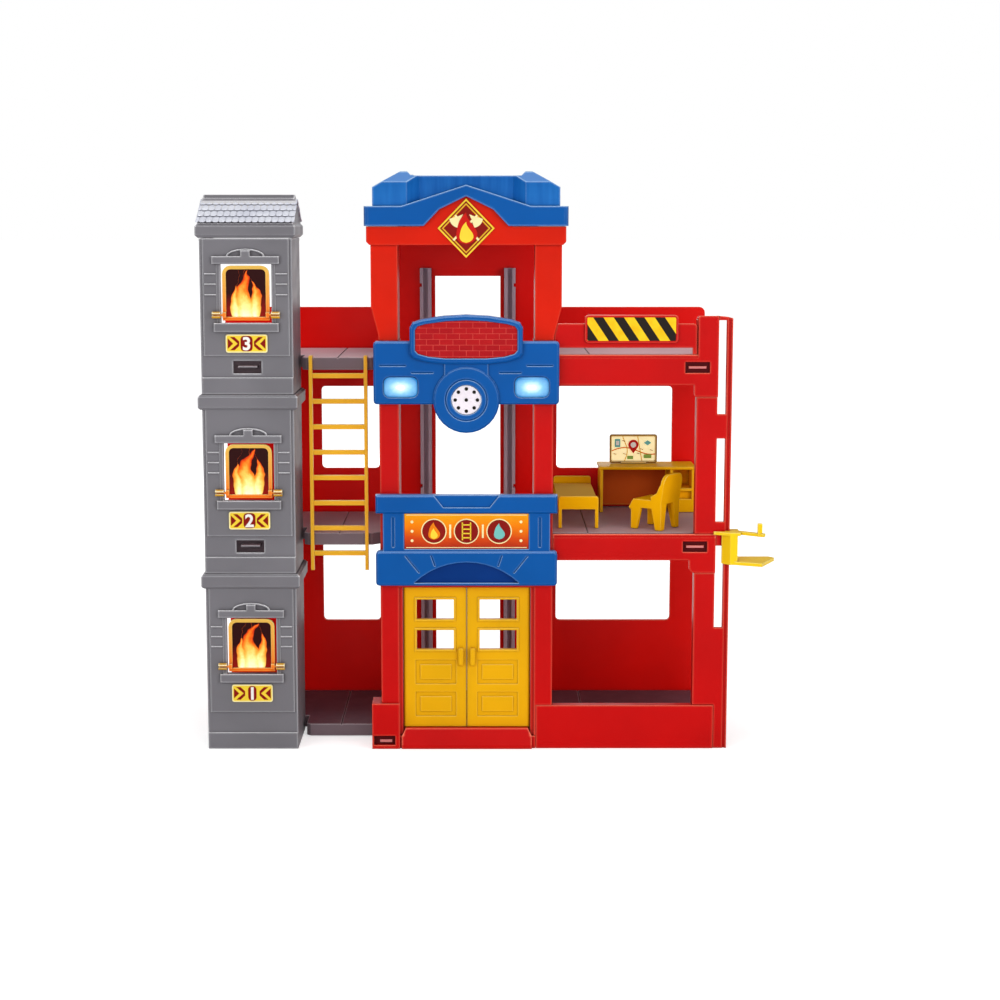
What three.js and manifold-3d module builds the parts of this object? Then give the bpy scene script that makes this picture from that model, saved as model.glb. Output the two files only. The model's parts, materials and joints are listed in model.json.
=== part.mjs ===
// A toy fire station: a red back wall with open floors on both sides of a central tower with a blue
// roof, a grey training tower with three fire targets, a hooked ladder, a sliding lift and furniture.
// Sizes are in millimetres. X runs right from the middle of the central tower, Y back from the facade
// and Z up from the table.
import * as THREE from "three";
import { mergeVertices } from "three/addons/utils/BufferGeometryUtils.js";
import Module from "manifold-3d";

const wasm = await Module();
wasm.setup();

// Shared sizes
const fit = 0.3; // gap between pieces that touch
const over = 1; // how far a cut runs past the face it opens
const lap = 1; // how far joined forms run into each other
const weld = 0.0001;
const wall = 3;
const skin = 2.4;
const stationDepth = 149;
const stationLeft = -194.3;
const stationRight = 184.3;
const backRight = 189.8; // the back wall reaches behind the lift rail
const backFace = stationDepth - wall; // front face of the back wall
const floorSeat = backFace - fit;

// Floor levels. The right floors lie higher, flush with the tops of their beams.
const groundTop = 9.5;
const lowStorey = 148.5;
const highStorey = 132.7;
const slabHeight = 9.2;
const rightRise = 4.5;
const middleTop = groundTop + lowStorey;
const roofTop = middleTop + highStorey;
const parapetTop = 323.5;

// Widths of the central tower
const pillarOuter = 63.6;
const pillarInner = 49.5;
const floorInner = pillarOuter + fit; // where the side floors meet the tower

// Colours
const paint = (color, roughness = 0.42) =>
  new THREE.MeshStandardMaterial({ color, roughness, metalness: 0 });
const red = paint(0xd81c12);
const blue = paint(0x045aa5);
const grey = paint(0x737176);
const darkGrey = paint(0x5a5560);
const paleGrey = paint(0xb2a2a8);
const doorYellow = paint(0xe4ac05);
const yellow = paint(0xffc020);
const cream = paint(0xe8d59a);
const orange = paint(0xf08a22);
const white = paint(0xf0eef0);
const lensBlue = paint(0xbfe4ff, 0.1);

const root = new THREE.Group();
const building = new THREE.Group();
building.position.set(0, -stationDepth / 2, 0);
root.add(building);

// Outlines

// An arc as points, from one angle to another in quarter turns.
function arc(centre, radius, fromTurn, toTurn, steps = 4) {
  const points = [];
  for (let i = 0; i <= steps; i++) {
    const angle = ((fromTurn + ((toTurn - fromTurn) * i) / steps) * Math.PI) / 2;
    points.push([centre[0] + radius * Math.cos(angle), centre[1] + radius * Math.sin(angle)]);
  }
  return points;
}

const circle = (centre, radius, steps = 20) => arc(centre, radius, 0, 4, steps).slice(0, -1);

const rectangle = ([a0, a1], [b0, b1]) => [[a0, b0], [a1, b0], [a1, b1], [a0, b1]];

function roundedRectangle([a0, a1], [b0, b1], radius, steps = 3) {
  return [
    ...arc([a0 + radius, b0 + radius], radius, 2, 3, steps),
    ...arc([a1 - radius, b0 + radius], radius, 3, 4, steps),
    ...arc([a1 - radius, b1 - radius], radius, 0, 1, steps),
    ...arc([a0 + radius, b1 - radius], radius, 1, 2, steps),
  ];
}

// An outline from its right half, whose points run from the bottom middle up to the top middle.
function mirrored(half) {
  const left = half.filter(([a]) => a !== 0).map(([a, b]) => [-a, b]);
  return [...half, ...left.reverse()];
}

// Solids

const axisX = new THREE.Vector3(1, 0, 0);
const axisY = new THREE.Vector3(0, 1, 0);
const axisZ = new THREE.Vector3(0, 0, 1);

// An outline is drawn in X and Z for the front view, Y and Z for the side view, X and Y for the plan.
const views = {
  front: { basis: [axisX, axisZ, axisY.clone().negate()], along: axisY, backwards: true },
  side: { basis: [axisY, axisZ, axisX], along: axisX, backwards: false },
  plan: { basis: [axisX, axisY, axisZ], along: axisZ, backwards: false },
};

function solid(geometry) {
  geometry.deleteAttribute("normal");
  geometry.deleteAttribute("uv");
  const merged = mergeVertices(geometry, weld);
  return new wasm.Manifold(
    new wasm.Mesh({
      numProp: 3,
      vertProperties: merged.attributes.position.array,
      triVerts: new Uint32Array(merged.index.array),
    }),
  );
}

// A prism of the outline, as thick as the span runs across the view. A bevel chamfers both ends.
function prism(viewName, outline, [near, far], bevel = 0) {
  const view = views[viewName];
  const shape = new THREE.Shape(outline.map(([a, b]) => new THREE.Vector2(a, b)));
  const geometry = new THREE.ExtrudeGeometry(shape, {
    depth: far - near - 2 * bevel,
    bevelEnabled: bevel > 0,
    bevelThickness: bevel,
    bevelSize: bevel,
    bevelOffset: -bevel,
    bevelSegments: 1,
    steps: 1,
  });
  geometry.translate(0, 0, bevel);
  geometry.applyMatrix4(new THREE.Matrix4().makeBasis(...view.basis));
  const start = view.along.clone().multiplyScalar(view.backwards ? far : near);
  geometry.translate(start.x, start.y, start.z);
  return solid(geometry);
}

function block([x0, x1], [y0, y1], [z0, z1]) {
  const geometry = new THREE.BoxGeometry(x1 - x0, y1 - y0, z1 - z0);
  geometry.translate((x0 + x1) / 2, (y0 + y1) / 2, (z0 + z1) / 2);
  return solid(geometry);
}

const join = (...forms) => forms.reduce((whole, form) => whole.add(form));
const cut = (body, ...tools) => tools.reduce((rest, tool) => rest.subtract(tool), body);
const common = (a, b) => a.intersect(b);

// A span on one side of the middle, from an inner to an outer distance.
const sideSpan = (side, inner, outer) => (side > 0 ? [inner, outer] : [-outer, -inner]);
const onBothSides = (form) => join(form(-1), form(1));
const around = (middle, half) => [middle - half, middle + half];

// Evenly spaced spans that share a length, with a web between them.
function bays([from, to], count, web) {
  const pitch = (to - from + web) / count;
  return Array.from({ length: count }, (_, i) => [from + i * pitch, from + (i + 1) * pitch - web]);
}

function addPiece(name, form, material, home = building) {
  const mesh = form.getMesh();
  const geometry = new THREE.BufferGeometry();
  geometry.setAttribute("position", new THREE.BufferAttribute(mesh.vertProperties, 3));
  geometry.setIndex(new THREE.BufferAttribute(mesh.triVerts, 1));
  geometry.computeVertexNormals();
  const piece = new THREE.Mesh(geometry, material);
  piece.name = name;
  home.add(piece);
}

// A group placed at a joint or a seat, for pieces drawn about it.
function placeGroup(x, y, z) {
  const group = new THREE.Group();
  group.position.set(x, y, z);
  building.add(group);
  return group;
}

// Back wall

const windowCorner = 3;
const windowSills = [68.4, 193.7];
const windowHeight = 66.3;
const leftWindow = [-117.8, -71.5];
const rightWindow = [71.5, 164.5];
const panelJoint = 57; // the joints between the panels lie behind the pillars
const parapetCorner = 4.5;
const shaftHalf = 26;
const shaftTop = 348;
const backHeadTop = 388;
const backHeadHalf = 56;
const tongueWidth = 14;
const tongueHeight = 3;
const leftTongues = [-170, -95];
const rightTongues = [85, 160];
const slabMiddle = (top) => top - slabHeight / 2;

// Slots in the back wall for the tongues of the floors of one side.
function tongueSlots(tongues, tops) {
  const slots = tongues.flatMap((x) =>
    tops.map((top) =>
      block(
        around(x, tongueWidth / 2 + fit),
        [backFace - over, stationDepth + over],
        around(slabMiddle(top), tongueHeight / 2 + fit),
      ),
    ),
  );
  return join(...slots);
}

function sideWindows(xs) {
  const openings = windowSills.map((sill) =>
    prism(
      "front",
      roundedRectangle(xs, [sill, sill + windowHeight], windowCorner),
      [backFace - over, stationDepth + over],
    ),
  );
  return join(...openings);
}

const leftTops = [groundTop, middleTop, roofTop];
const rightTops = [groundTop, middleTop + rightRise, roofTop + rightRise];

const leftPanelOutline = [
  [stationLeft, 0],
  [-panelJoint - fit, 0],
  [-panelJoint - fit, parapetTop],
  ...arc([stationLeft + parapetCorner, parapetTop - parapetCorner], parapetCorner, 1, 2),
];
addPiece(
  "back_panel_left",
  cut(
    prism("front", leftPanelOutline, [backFace, stationDepth]),
    sideWindows(leftWindow),
    tongueSlots(leftTongues, leftTops),
  ),
  red,
);

const rightPanelOutline = [
  [panelJoint + fit, 0],
  [backRight, 0],
  ...arc([backRight - parapetCorner, parapetTop - parapetCorner], parapetCorner, 0, 1),
  [panelJoint + fit, parapetTop],
];
addPiece(
  "back_panel_right",
  cut(
    prism("front", rightPanelOutline, [backFace, stationDepth]),
    sideWindows(rightWindow),
    tongueSlots(rightTongues, rightTops),
  ),
  red,
);

const centrePanelOutline = mirrored([
  [panelJoint, groundTop + fit],
  [panelJoint, parapetTop],
  [backHeadHalf, parapetTop],
  [backHeadHalf, backHeadTop],
]);
addPiece(
  "back_panel_centre",
  cut(
    prism("front", centrePanelOutline, [backFace, stationDepth]),
    block([-shaftHalf, shaftHalf], [backFace - over, stationDepth + over], [0, shaftTop]),
  ),
  red,
);

// Guide channels beside the shaft, with a groove to the front and two notches in the outer edge

const channelInner = 29;
const channelOuter = 38;
const channelDepth = 8;
const channelTop = 354.4;
const channelGroove = 3.6;
const channelGrooveDepth = 5;
const notchHeights = [180, 341];
const notchSize = 3;

for (const [side, name] of [[-1, "guide_channel_left"], [1, "guide_channel_right"]]) {
  const back = floorSeat;
  const front = back - channelDepth;
  const middle = (side * (channelInner + channelOuter)) / 2;
  const notches = notchHeights.map((z) =>
    block(
      sideSpan(side, channelOuter - notchSize / 2, channelOuter + over),
      [front - over, back + over],
      around(z, notchSize / 2),
    ),
  );
  addPiece(
    name,
    cut(
      block(sideSpan(side, channelInner, channelOuter), [front, back], [groundTop + fit, channelTop]),
      block(
        around(middle, channelGroove / 2),
        [front - over, front + channelGrooveDepth],
        [groundTop, channelTop + over],
      ),
      ...notches,
    ),
    darkGrey,
  );
}

// Grey training tower

const tower = {
  middle: -160,
  half: 33.7,
  depth: 60,
  pitch: 133,
  topHeight: 113.8,
  wall: 3,
  collarHeight: 11,
  collarLip: 2.8,
  collarChamfer: 1.6,
  courseTop: 12.4,
  bandTop: 27.8,
  proud: 0.9,
  panelInset: 2.2,
};
const towerLeft = tower.middle - tower.half;
const towerRight = tower.middle + tower.half;
const towerTop = 2 * tower.pitch + tower.topHeight;
// Each storey's window sits a little lower above its foot than the one below.
const fireWindow = { half: 18.5, height: 42.6, firstSill: 57.6, sillDrop: 2.6 };
const trim = {
  proud: 3.4,
  lintelHalf: 24.5,
  lintelHeight: 5.7,
  sillHalf: 23.6,
  sillHeight: 6.6,
  jambWidth: 3,
  jambProud: 1.3,
  archHalf: 14,
  archRise: 5.4,
  archRib: 1.3,
  archProud: 2.4,
  keystoneHalf: 3.4,
  louvreInner: 21.8,
  louvreLength: 8.3,
  louvreHeight: 1.3,
  louvreProud: 1.6,
  louvreDrops: [7.2, 14.7, 22.3],
};
const slotHalf = 10.3;
const slotTongueHalf = 7;
const slotTongueHeight = 1.4;
const slotTongueBack = 1.4;
const panelFront = -tower.proud;
const fireSill = (i) => fireWindow.firstSill + i * (tower.pitch - fireWindow.sillDrop);

// The raised trim round a fire window: lintel with an arched rib and keystone, jambs, sill, louvres.
function windowTrim(sill) {
  const head = sill + fireWindow.height;
  const lintelTop = head + trim.lintelHeight;
  const archOutline = (half, rise) => [
    [tower.middle + half, lintelTop - lap],
    ...arc([tower.middle, 0], half, 0, 2, 8).map(([x, z]) => [x, lintelTop + (z / half) * rise]),
    [tower.middle - half, lintelTop - lap],
  ];
  const depthSpan = (proud) => [-proud, tower.wall];
  const arch = cut(
    prism("front", archOutline(trim.archHalf, trim.archRise), depthSpan(trim.archProud)),
    prism(
      "front",
      archOutline(trim.archHalf - trim.archRib, trim.archRise - trim.archRib),
      [-trim.archProud - over, panelFront],
    ),
  );
  const louvres = trim.louvreDrops.flatMap((drop) =>
    [-1, 1].map((side) => {
      const start = trim.louvreInner;
      const [a, b] = sideSpan(side, start, start + trim.louvreLength);
      return block(
        [tower.middle + a, tower.middle + b],
        depthSpan(trim.louvreProud),
        around(head - drop, trim.louvreHeight / 2),
      );
    }),
  );
  const jambOuter = fireWindow.half + trim.jambWidth;
  return join(
    block(around(tower.middle, trim.lintelHalf), depthSpan(trim.proud), [head, lintelTop]),
    block(
      around(tower.middle, trim.keystoneHalf),
      depthSpan(trim.proud),
      [head, lintelTop + trim.archRise - trim.archRib],
    ),
    block(around(tower.middle, trim.sillHalf), depthSpan(trim.proud), [sill - trim.sillHeight, sill]),
    block(around(tower.middle, jambOuter), depthSpan(trim.jambProud), [sill, head]),
    arch,
    ...louvres,
  );
}

// One storey: three walls open to the back, a course at the foot, a raised panel, trim and a collar.
function towerStorey(i, collar) {
  const base = i * tower.pitch + (i ? fit : 0);
  const top = collar ? (i + 1) * tower.pitch : towerTop - fit;
  const [x0, x1] = [towerLeft, towerRight];
  const panelTop = collar ? top - tower.collarHeight : top;
  const lip = tower.collarLip;
  const forms = [
    block([x0, x1], [0, tower.depth], [base, top]),
    block([x0 + fit, x1 - fit], [panelFront, tower.wall], [base, base + tower.courseTop]),
    block(
      [x0 + tower.panelInset, x1 - tower.panelInset],
      [panelFront, tower.wall],
      [base + tower.bandTop, panelTop],
    ),
    windowTrim(fireSill(i)),
  ];
  if (collar) {
    const collarPlan = rectangle([x0 - lip, x1 + lip], [-lip, tower.depth + lip]);
    forms.push(prism("plan", collarPlan, [panelTop, top], tower.collarChamfer));
  }
  const inner = block(
    [x0 + tower.wall, x1 - tower.wall],
    [tower.wall, tower.depth + lip + over],
    [base - over, top + over],
  );
  const opening = block(
    around(tower.middle, fireWindow.half),
    [-trim.proud - over, tower.wall + over],
    [fireSill(i), fireSill(i) + fireWindow.height],
  );
  const latchSlot = block(
    around(tower.middle, slotHalf),
    [panelFront - over, tower.wall + over],
    [leftTops[i] - slabHeight, leftTops[i]],
  );
  const storey = cut(join(...forms), inner, opening);
  return i ? cut(storey, latchSlot) : storey;
}

addPiece("tower_storey_1", towerStorey(0, true), grey);
addPiece("tower_storey_2", towerStorey(1, true), grey);
addPiece("tower_storey_3", towerStorey(2, false), grey);

// Gabled roof of the grey tower, with a deep eave, stepped shingle courses and a ridge cap

const gable = {
  eaveHeight: 10.4,
  eaveLip: 2.6,
  eaveChamfer: 2,
  rise: 18.2,
  courseCount: 4,
  courseProud: 0.9,
  ridgeCapHeight: 2.6,
  ridgeCapHalf: 5,
  ridgeCapInset: 2.5,
  inset: 1.6,
  shell: 3,
};

function gabledRoof() {
  const eaveTop = towerTop + gable.eaveHeight;
  const xs = [towerLeft - gable.eaveLip, towerRight + gable.eaveLip];
  const ys = [-gable.eaveLip, tower.depth + gable.eaveLip];
  const ridgeY = tower.depth / 2;
  const run = ridgeY - ys[0] - gable.inset;
  // Each course starts proud of the one below it.
  const slope = [];
  for (let i = 0; i < gable.courseCount; i++) {
    const low = i / gable.courseCount;
    const high = (i + 1) / gable.courseCount;
    slope.push([run * (1 - low), gable.rise * low + (i ? gable.courseProud : 0)]);
    slope.push([run * (1 - high), gable.rise * high]);
  }
  const half = [[run, -lap], ...slope];
  const outline = mirrored(half).map(([y, z]) => [ridgeY + y, eaveTop + z]);
  const courses = prism("side", outline, [xs[0] + gable.inset, xs[1] - gable.inset]);
  const eave = prism("plan", rectangle(xs, ys), [towerTop, eaveTop], gable.eaveChamfer);
  const capTop = eaveTop + gable.rise + gable.ridgeCapHeight;
  const cap = prism(
    "side",
    [
      [ridgeY + gable.ridgeCapHalf, capTop - 2 * gable.ridgeCapHeight],
      [ridgeY + gable.ridgeCapHalf, capTop - gable.ridgeCapHeight],
      [ridgeY, capTop],
      [ridgeY - gable.ridgeCapHalf, capTop - gable.ridgeCapHeight],
      [ridgeY - gable.ridgeCapHalf, capTop - 2 * gable.ridgeCapHeight],
    ],
    [xs[0] + gable.ridgeCapInset, xs[1] - gable.ridgeCapInset],
  );
  const hollowRun = run - gable.shell;
  const hollowTop = eaveTop + (gable.rise * hollowRun) / run - gable.shell;
  const hollow = prism(
    "side",
    [
      [ridgeY - hollowRun, towerTop - over],
      [ridgeY + hollowRun, towerTop - over],
      [ridgeY + hollowRun, eaveTop - gable.shell],
      [ridgeY, hollowTop],
      [ridgeY - hollowRun, eaveTop - gable.shell],
    ],
    [towerLeft + gable.shell, towerRight - gable.shell],
  );
  return cut(join(eave, courses, cap), hollow);
}
addPiece("tower_roof", gabledRoof(), grey);

// Fire targets: a framed flap in each window, its pins held in C clips on the tower's face

const flap = {
  half: 17.1,
  below: 4.1,
  above: 35.7,
  thickness: 2.4,
  forward: 1.6, // from the pin's axis back to the flap's front face
  corner: 6,
  frame: 2.7,
  recess: 0.7,
  pinRadius: 0.9,
  pinEnd: 23.8,
  earHeight: 4,
};
const clip = { inner: 18.3, outer: 24.6, radius: 2.5, gap: 1.1, standoff: 3.4 };
const pinAboveSill = 5.9;
const pinY = -clip.standoff;

function flapOutline(inset) {
  const half = flap.half - inset;
  const top = flap.above - inset;
  const radius = flap.corner - inset;
  return [
    [half, -flap.below + inset],
    ...arc([half - radius, top - radius], radius, 0, 1),
    ...arc([radius - half, top - radius], radius, 1, 2),
    [-half, -flap.below + inset],
  ];
}

function fireFlap() {
  const [front, back] = [flap.forward, flap.forward + flap.thickness];
  const ears = onBothSides((side) =>
    block(
      sideSpan(side, flap.half - flap.frame, flap.half),
      [-flap.pinRadius, front + fit],
      around(0, flap.earHeight / 2),
    ),
  );
  const pins = onBothSides((side) =>
    prism("side", circle([0, 0], flap.pinRadius, 10), sideSpan(side, flap.half - fit, flap.pinEnd)),
  );
  const board = cut(
    prism("front", flapOutline(0), [front, back]),
    prism("front", flapOutline(flap.frame), [front - over, front + flap.recess]),
  );
  return join(board, ears, pins);
}

function pinClip(side) {
  const span = sideSpan(side, clip.inner, clip.outer);
  const ring = prism("side", circle([0, 0], clip.radius, 14), span);
  const foot = block(span, [0, clip.standoff - trim.jambProud - fit], [-clip.radius, 0]);
  const bore = prism(
    "side",
    circle([0, 0], flap.pinRadius + fit, 12),
    [span[0] - over, span[1] + over],
  );
  const mouth = block(
    [span[0] - over, span[1] + over],
    [-clip.radius - over, 0],
    around(0, clip.gap / 2),
  );
  const behind = block(
    [span[0] - over, span[1] + over],
    [clip.standoff - trim.jambProud - fit, clip.radius + clip.standoff],
    around(0, clip.radius + over),
  );
  return cut(join(ring, foot), bore, mouth, behind);
}

const plate = { half: 15.2, height: 13.2, drop: 8.3, thickness: 0.9, corner: 1.6 };

for (let i = 0; i < 3; i++) {
  const hinge = placeGroup(tower.middle, pinY, fireSill(i) + pinAboveSill);
  addPiece(`flap_${i + 1}`, fireFlap(), orange, hinge);
  addPiece(`pin_clip_${i + 1}_left`, pinClip(-1), cream, hinge);
  addPiece(`pin_clip_${i + 1}_right`, pinClip(1), cream, hinge);
  const plateTop = fireSill(i) - plate.drop;
  addPiece(
    `number_plate_${i + 1}`,
    prism(
      "front",
      roundedRectangle(
        around(tower.middle, plate.half),
        [plateTop - plate.height, plateTop],
        plate.corner,
      ),
      [panelFront - fit - plate.thickness, panelFront - fit],
    ),
    yellow,
  );
}

// Side floors: trays with ribs below, a seam groove on top and tongues through the walls

const bay = { front: 36, chamfer: 7.7, left: -120.2 };
const floorPlate = 2.4;
const floorRib = 1.8;
const insideTowerFront = 12;
const seamWidth = 1;
const seamDepth = 0.7;
const leftSeamX = -96.5;
const rightSeamX = 90;
const dropLip = 3; // below the floors, behind the slots in the tower's face
const hook = { axisY: 39.6, slotHalf: 2.6, slotDepth: 2.2, slotWidth: 4.6 };
const ladder = { middle: -96.2, half: 21.85, rail: 2.6, depth: 3.6 };

// Pockets moulded into the underside of a floor, in a grid of ribs.
function pocketGrid(xs, ys, across, along, top) {
  const pockets = bays(xs, across, floorRib).flatMap((xSpan) =>
    bays(ys, along, floorRib).map((ySpan) =>
      block(xSpan, ySpan, [top - slabHeight - over, top - floorPlate]),
    ),
  );
  return join(...pockets);
}

function backTongues(tongues, top) {
  const forms = tongues.map((x) =>
    block(
      around(x, tongueWidth / 2),
      [floorSeat - wall, stationDepth],
      around(slabMiddle(top), tongueHeight / 2),
    ),
  );
  return join(...forms);
}

const seam = (x, ys, top) => block(around(x, seamWidth / 2), ys, [top - seamDepth, top + over]);

function leftFloor(top, index) {
  const inTower = [towerLeft + tower.wall + fit, towerRight - tower.wall - fit];
  const behindTower = tower.depth + tower.collarLip + fit;
  const towerSide = towerRight + tower.collarLip + fit;
  const inner = -floorInner;
  const outline = [
    [stationLeft, floorSeat],
    [stationLeft, behindTower],
    [inTower[0], behindTower],
    [inTower[0], insideTowerFront],
    [inTower[1], insideTowerFront],
    [inTower[1], behindTower],
    [towerSide, behindTower],
    [towerSide, bay.front + bay.left - towerSide],
    [bay.left, bay.front],
    [inner - bay.chamfer, bay.front],
    [inner, bay.front + bay.chamfer],
    [inner, floorSeat],
  ];
  const slab = [top - slabHeight, top];
  const tongue = block(
    around(tower.middle, slotTongueHalf),
    [slotTongueBack, insideTowerFront + floorRib],
    around(slabMiddle(top), slotTongueHeight / 2),
  );
  const mainPockets = pocketGrid(
    [stationLeft + floorRib, inner - floorRib],
    [behindTower + floorRib, floorSeat - floorRib],
    5,
    3,
    top,
  );
  const towerPockets = pocketGrid(
    [inTower[0] + floorRib, inTower[1] - floorRib],
    [insideTowerFront + floorRib, behindTower - floorRib],
    2,
    2,
    top,
  );
  const bayPockets = pocketGrid(
    [bay.left + floorRib, inner - bay.chamfer - floorRib],
    [hook.axisY + hook.slotHalf + floorRib, behindTower],
    2,
    1,
    top,
  );
  const forms = [prism("plan", outline, slab), backTongues(leftTongues, top)];
  if (index) {
    const lip = block(
      around(tower.middle, slotHalf + floorRib),
      [insideTowerFront, insideTowerFront + floorRib],
      [slab[0] - dropLip, slab[0] + lap],
    );
    forms.push(tongue, lip);
  }
  const seams = [seam(leftSeamX, [bay.front - over, floorSeat + over], top)];
  // The ladder's hooks rest in two slots near the front edge of the roof bay.
  if (index === 2) {
    const hookXs = [-1, 1].map((side) => ladder.middle + side * (ladder.half - ladder.rail / 2));
    for (const x of hookXs) {
      const xs = around(x, hook.slotWidth / 2);
      seams.push(block(xs, around(hook.axisY, hook.slotHalf), [top - hook.slotDepth, top + over]));
    }
  }
  return cut(join(...forms), mainPockets, towerPockets, bayPockets, ...seams);
}

// The right floors start behind the lips of their beams.
const beamDepth = 8;
const cornerPostLeft = 168.7;
const postDepth = 12;

function rightFloor(top) {
  const xs = [floorInner, stationRight];
  const slab = [top - slabHeight, top];
  const front = beamDepth + fit;
  const outline = [
    [xs[0], front],
    [cornerPostLeft - fit, front],
    [cornerPostLeft - fit, postDepth + fit],
    [xs[1], postDepth + fit],
    [xs[1], floorSeat],
    [xs[0], floorSeat],
  ];
  const pockets = pocketGrid(
    [xs[0] + floorRib, cornerPostLeft - fit - floorRib],
    [front + floorRib, floorSeat - floorRib],
    4,
    4,
    top,
  );
  return cut(
    join(prism("plan", outline, slab), backTongues(rightTongues, top)),
    pockets,
    seam(rightSeamX, [front - over, floorSeat + over], top),
  );
}

["ground", "middle", "roof"].forEach((level, i) => {
  addPiece(`floor_left_${level}`, leftFloor(leftTops[i], i), paleGrey);
  addPiece(`floor_right_${level}`, rightFloor(rightTops[i]), paleGrey);
});

// Right wing: low wall, two beams, the corner post with its slotted lift rail, and the guard rail

const lowWall = { left: 51.8, top: 32.9, flange: 8 };
const beamPlate = 2.6;
const beamLip = 1.2;
const beam = {
  left: pillarOuter + fit,
  right: stationRight,
  heights: [19.5, 22.2],
  edgeDrop: 2.6,
  edgeDepth: 1.8,
  latchFromEnd: 15.3,
  latchWidth: 18,
  latchHeight: 8,
  latchDrop: 9.3,
  latchSkin: 0.7,
  barHalf: 6.5,
  barHeight: 1.8,
  barInset: 0.5,
};
const bracket = { reach: 4, height: 9.5, corner: 4 };
const roofBracket = { reach: 2.1, bottom: 264.3, corner: 2 };
const cornerBlock = { left: 169.4, cap: 2.4, corner: 1.2 };
const post = {
  left: cornerPostLeft,
  right: 184,
  front: 1,
  plate: 4.3,
  side: 2.4,
  top: parapetTop - cornerBlock.cap - fit,
};
const rail = {
  plateRight: 190.5,
  plateDepth: 3,
  right: 194.6,
  stripDepth: 7,
  top: 323.6,
  slope: 1.8,
  slots: [[92, 153.8], [171.7, 233.6], [251.5, 320.3]],
  grooveWidth: 2,
  grooveDepth: 0.9,
};
const beamTops = [rightTops[1], rightTops[2]];

addPiece(
  "low_wall_right",
  join(
    block([lowWall.left, stationRight], [0, wall], [0, lowWall.top]),
    block([floorInner, post.left - fit], [0, lowWall.flange], [lowWall.top - skin, lowWall.top]),
  ),
  red,
);

// A beam: a channel with a sloped upper edge, lips above and below, and a latch recess with a bar.
function wingBeam(i) {
  const top = beamTops[i];
  const bottom = top - beam.heights[i];
  const lips = [[bottom, bottom + skin], [top - beamLip - skin, top - beamLip]];
  const web = prism(
    "side",
    [
      [0, bottom],
      [beamPlate, bottom],
      [beamPlate, top],
      [beam.edgeDepth, top],
      [0, top - beam.edgeDrop],
    ],
    [beam.left, beam.right],
  );
  const channel = join(
    web,
    ...lips.map((z) => block([beam.left, post.left - fit], [beamPlate - fit, beamDepth], z)),
  );
  const latchX = beam.right - beam.latchFromEnd;
  const latchZ = top - beam.latchDrop;
  const latch = block(
    around(latchX, beam.latchWidth / 2),
    [-over, beamPlate - beam.latchSkin],
    around(latchZ, beam.latchHeight / 2),
  );
  const bar = block(
    around(latchX, beam.barHalf),
    [beam.barInset, beamPlate - fit],
    around(latchZ, beam.barHeight / 2),
  );
  return { channel, latch, bar, bottom };
}

// A plate below a beam's right end, with its lower left corner rounded.
function endPlate(left, bottom, top, corner) {
  const outline = [
    ...arc([left + corner, bottom + corner], corner, 2, 3),
    [beam.right, bottom],
    [beam.right, top],
    [left, top],
  ];
  return prism("front", outline, [0, beamPlate]);
}

function middleBeam() {
  const { channel, latch, bar, bottom } = wingBeam(0);
  const left = post.left - bracket.reach;
  const plateForm = endPlate(left, bottom - bracket.height, bottom + lap, bracket.corner);
  return join(cut(join(channel, plateForm), latch), bar);
}

function roofBeam() {
  const { channel, latch, bar, bottom } = wingBeam(1);
  const below = endPlate(post.left - roofBracket.reach, roofBracket.bottom, bottom + lap, roofBracket.corner);
  const zs = [bottom, parapetTop];
  const above = prism(
    "front",
    roundedRectangle([cornerBlock.left, beam.right], zs, cornerBlock.corner),
    [0, beamPlate],
  );
  const cap = block(
    [cornerBlock.left, post.right - lap - fit],
    [beamPlate - fit, postDepth],
    [parapetTop - cornerBlock.cap, parapetTop - cornerBlock.corner],
  );
  return join(cut(join(channel, below, above, cap), latch), bar);
}
addPiece("beam_middle", middleBeam(), red);
addPiece("beam_roof", roofBeam(), red);

// The corner post is a channel open to the back. The rail plate and its outer strip are one with it.
function cornerPost() {
  const ys = [post.front, postDepth];
  const column = cut(
    block([post.left, post.right], ys, [0, post.top]),
    block(
      [post.left + post.side, post.right - post.side],
      [post.front + post.plate, postDepth + over],
      [-over, post.top + over],
    ),
  );
  const railPlate = prism(
    "front",
    [
      [post.right - lap, 0],
      [rail.plateRight + lap, 0],
      [rail.plateRight + lap, rail.top - rail.slope / 2],
      [post.right - lap, rail.top],
    ],
    [post.front, post.front + rail.plateDepth],
  );
  const strip = prism(
    "front",
    [
      [rail.plateRight, 0],
      [rail.right, 0],
      [rail.right, rail.top - rail.slope],
      [rail.plateRight, rail.top - rail.slope / 2],
    ],
    [post.front, post.front + rail.stripDepth],
  );
  const slots = rail.slots.map((zs) =>
    block([post.right, rail.plateRight], [post.front - over, post.front + rail.plateDepth + over], zs),
  );
  const grooveX = around((rail.plateRight + rail.right) / 2, rail.grooveWidth / 2);
  const stripBack = post.front + rail.stripDepth;
  const grooves = [
    block(grooveX, [post.front - over, post.front + rail.grooveDepth], [-over, rail.top]),
    block(grooveX, [stripBack - rail.grooveDepth, stripBack + over], [-over, rail.top]),
  ];
  // What lies in front of the post: the low wall, the beams, the bracket and the corner block.
  const fronts = [
    [-over, lowWall.top, post.left - over, wall],
    [beamTops[0] - beam.heights[0] - bracket.height, beamTops[0], post.left - over, beamPlate],
    [roofBracket.bottom, rail.top + over, post.left - over, beamPlate],
  ].map(([z0, z1, x0, depth]) =>
    block([x0, stationRight + fit], [-over, depth + fit], [z0 - fit, z1 + fit]),
  );
  return cut(join(column, railPlate, strip), ...slots, ...grooves, ...fronts);
}
addPiece("corner_post", cornerPost(), red);

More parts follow.
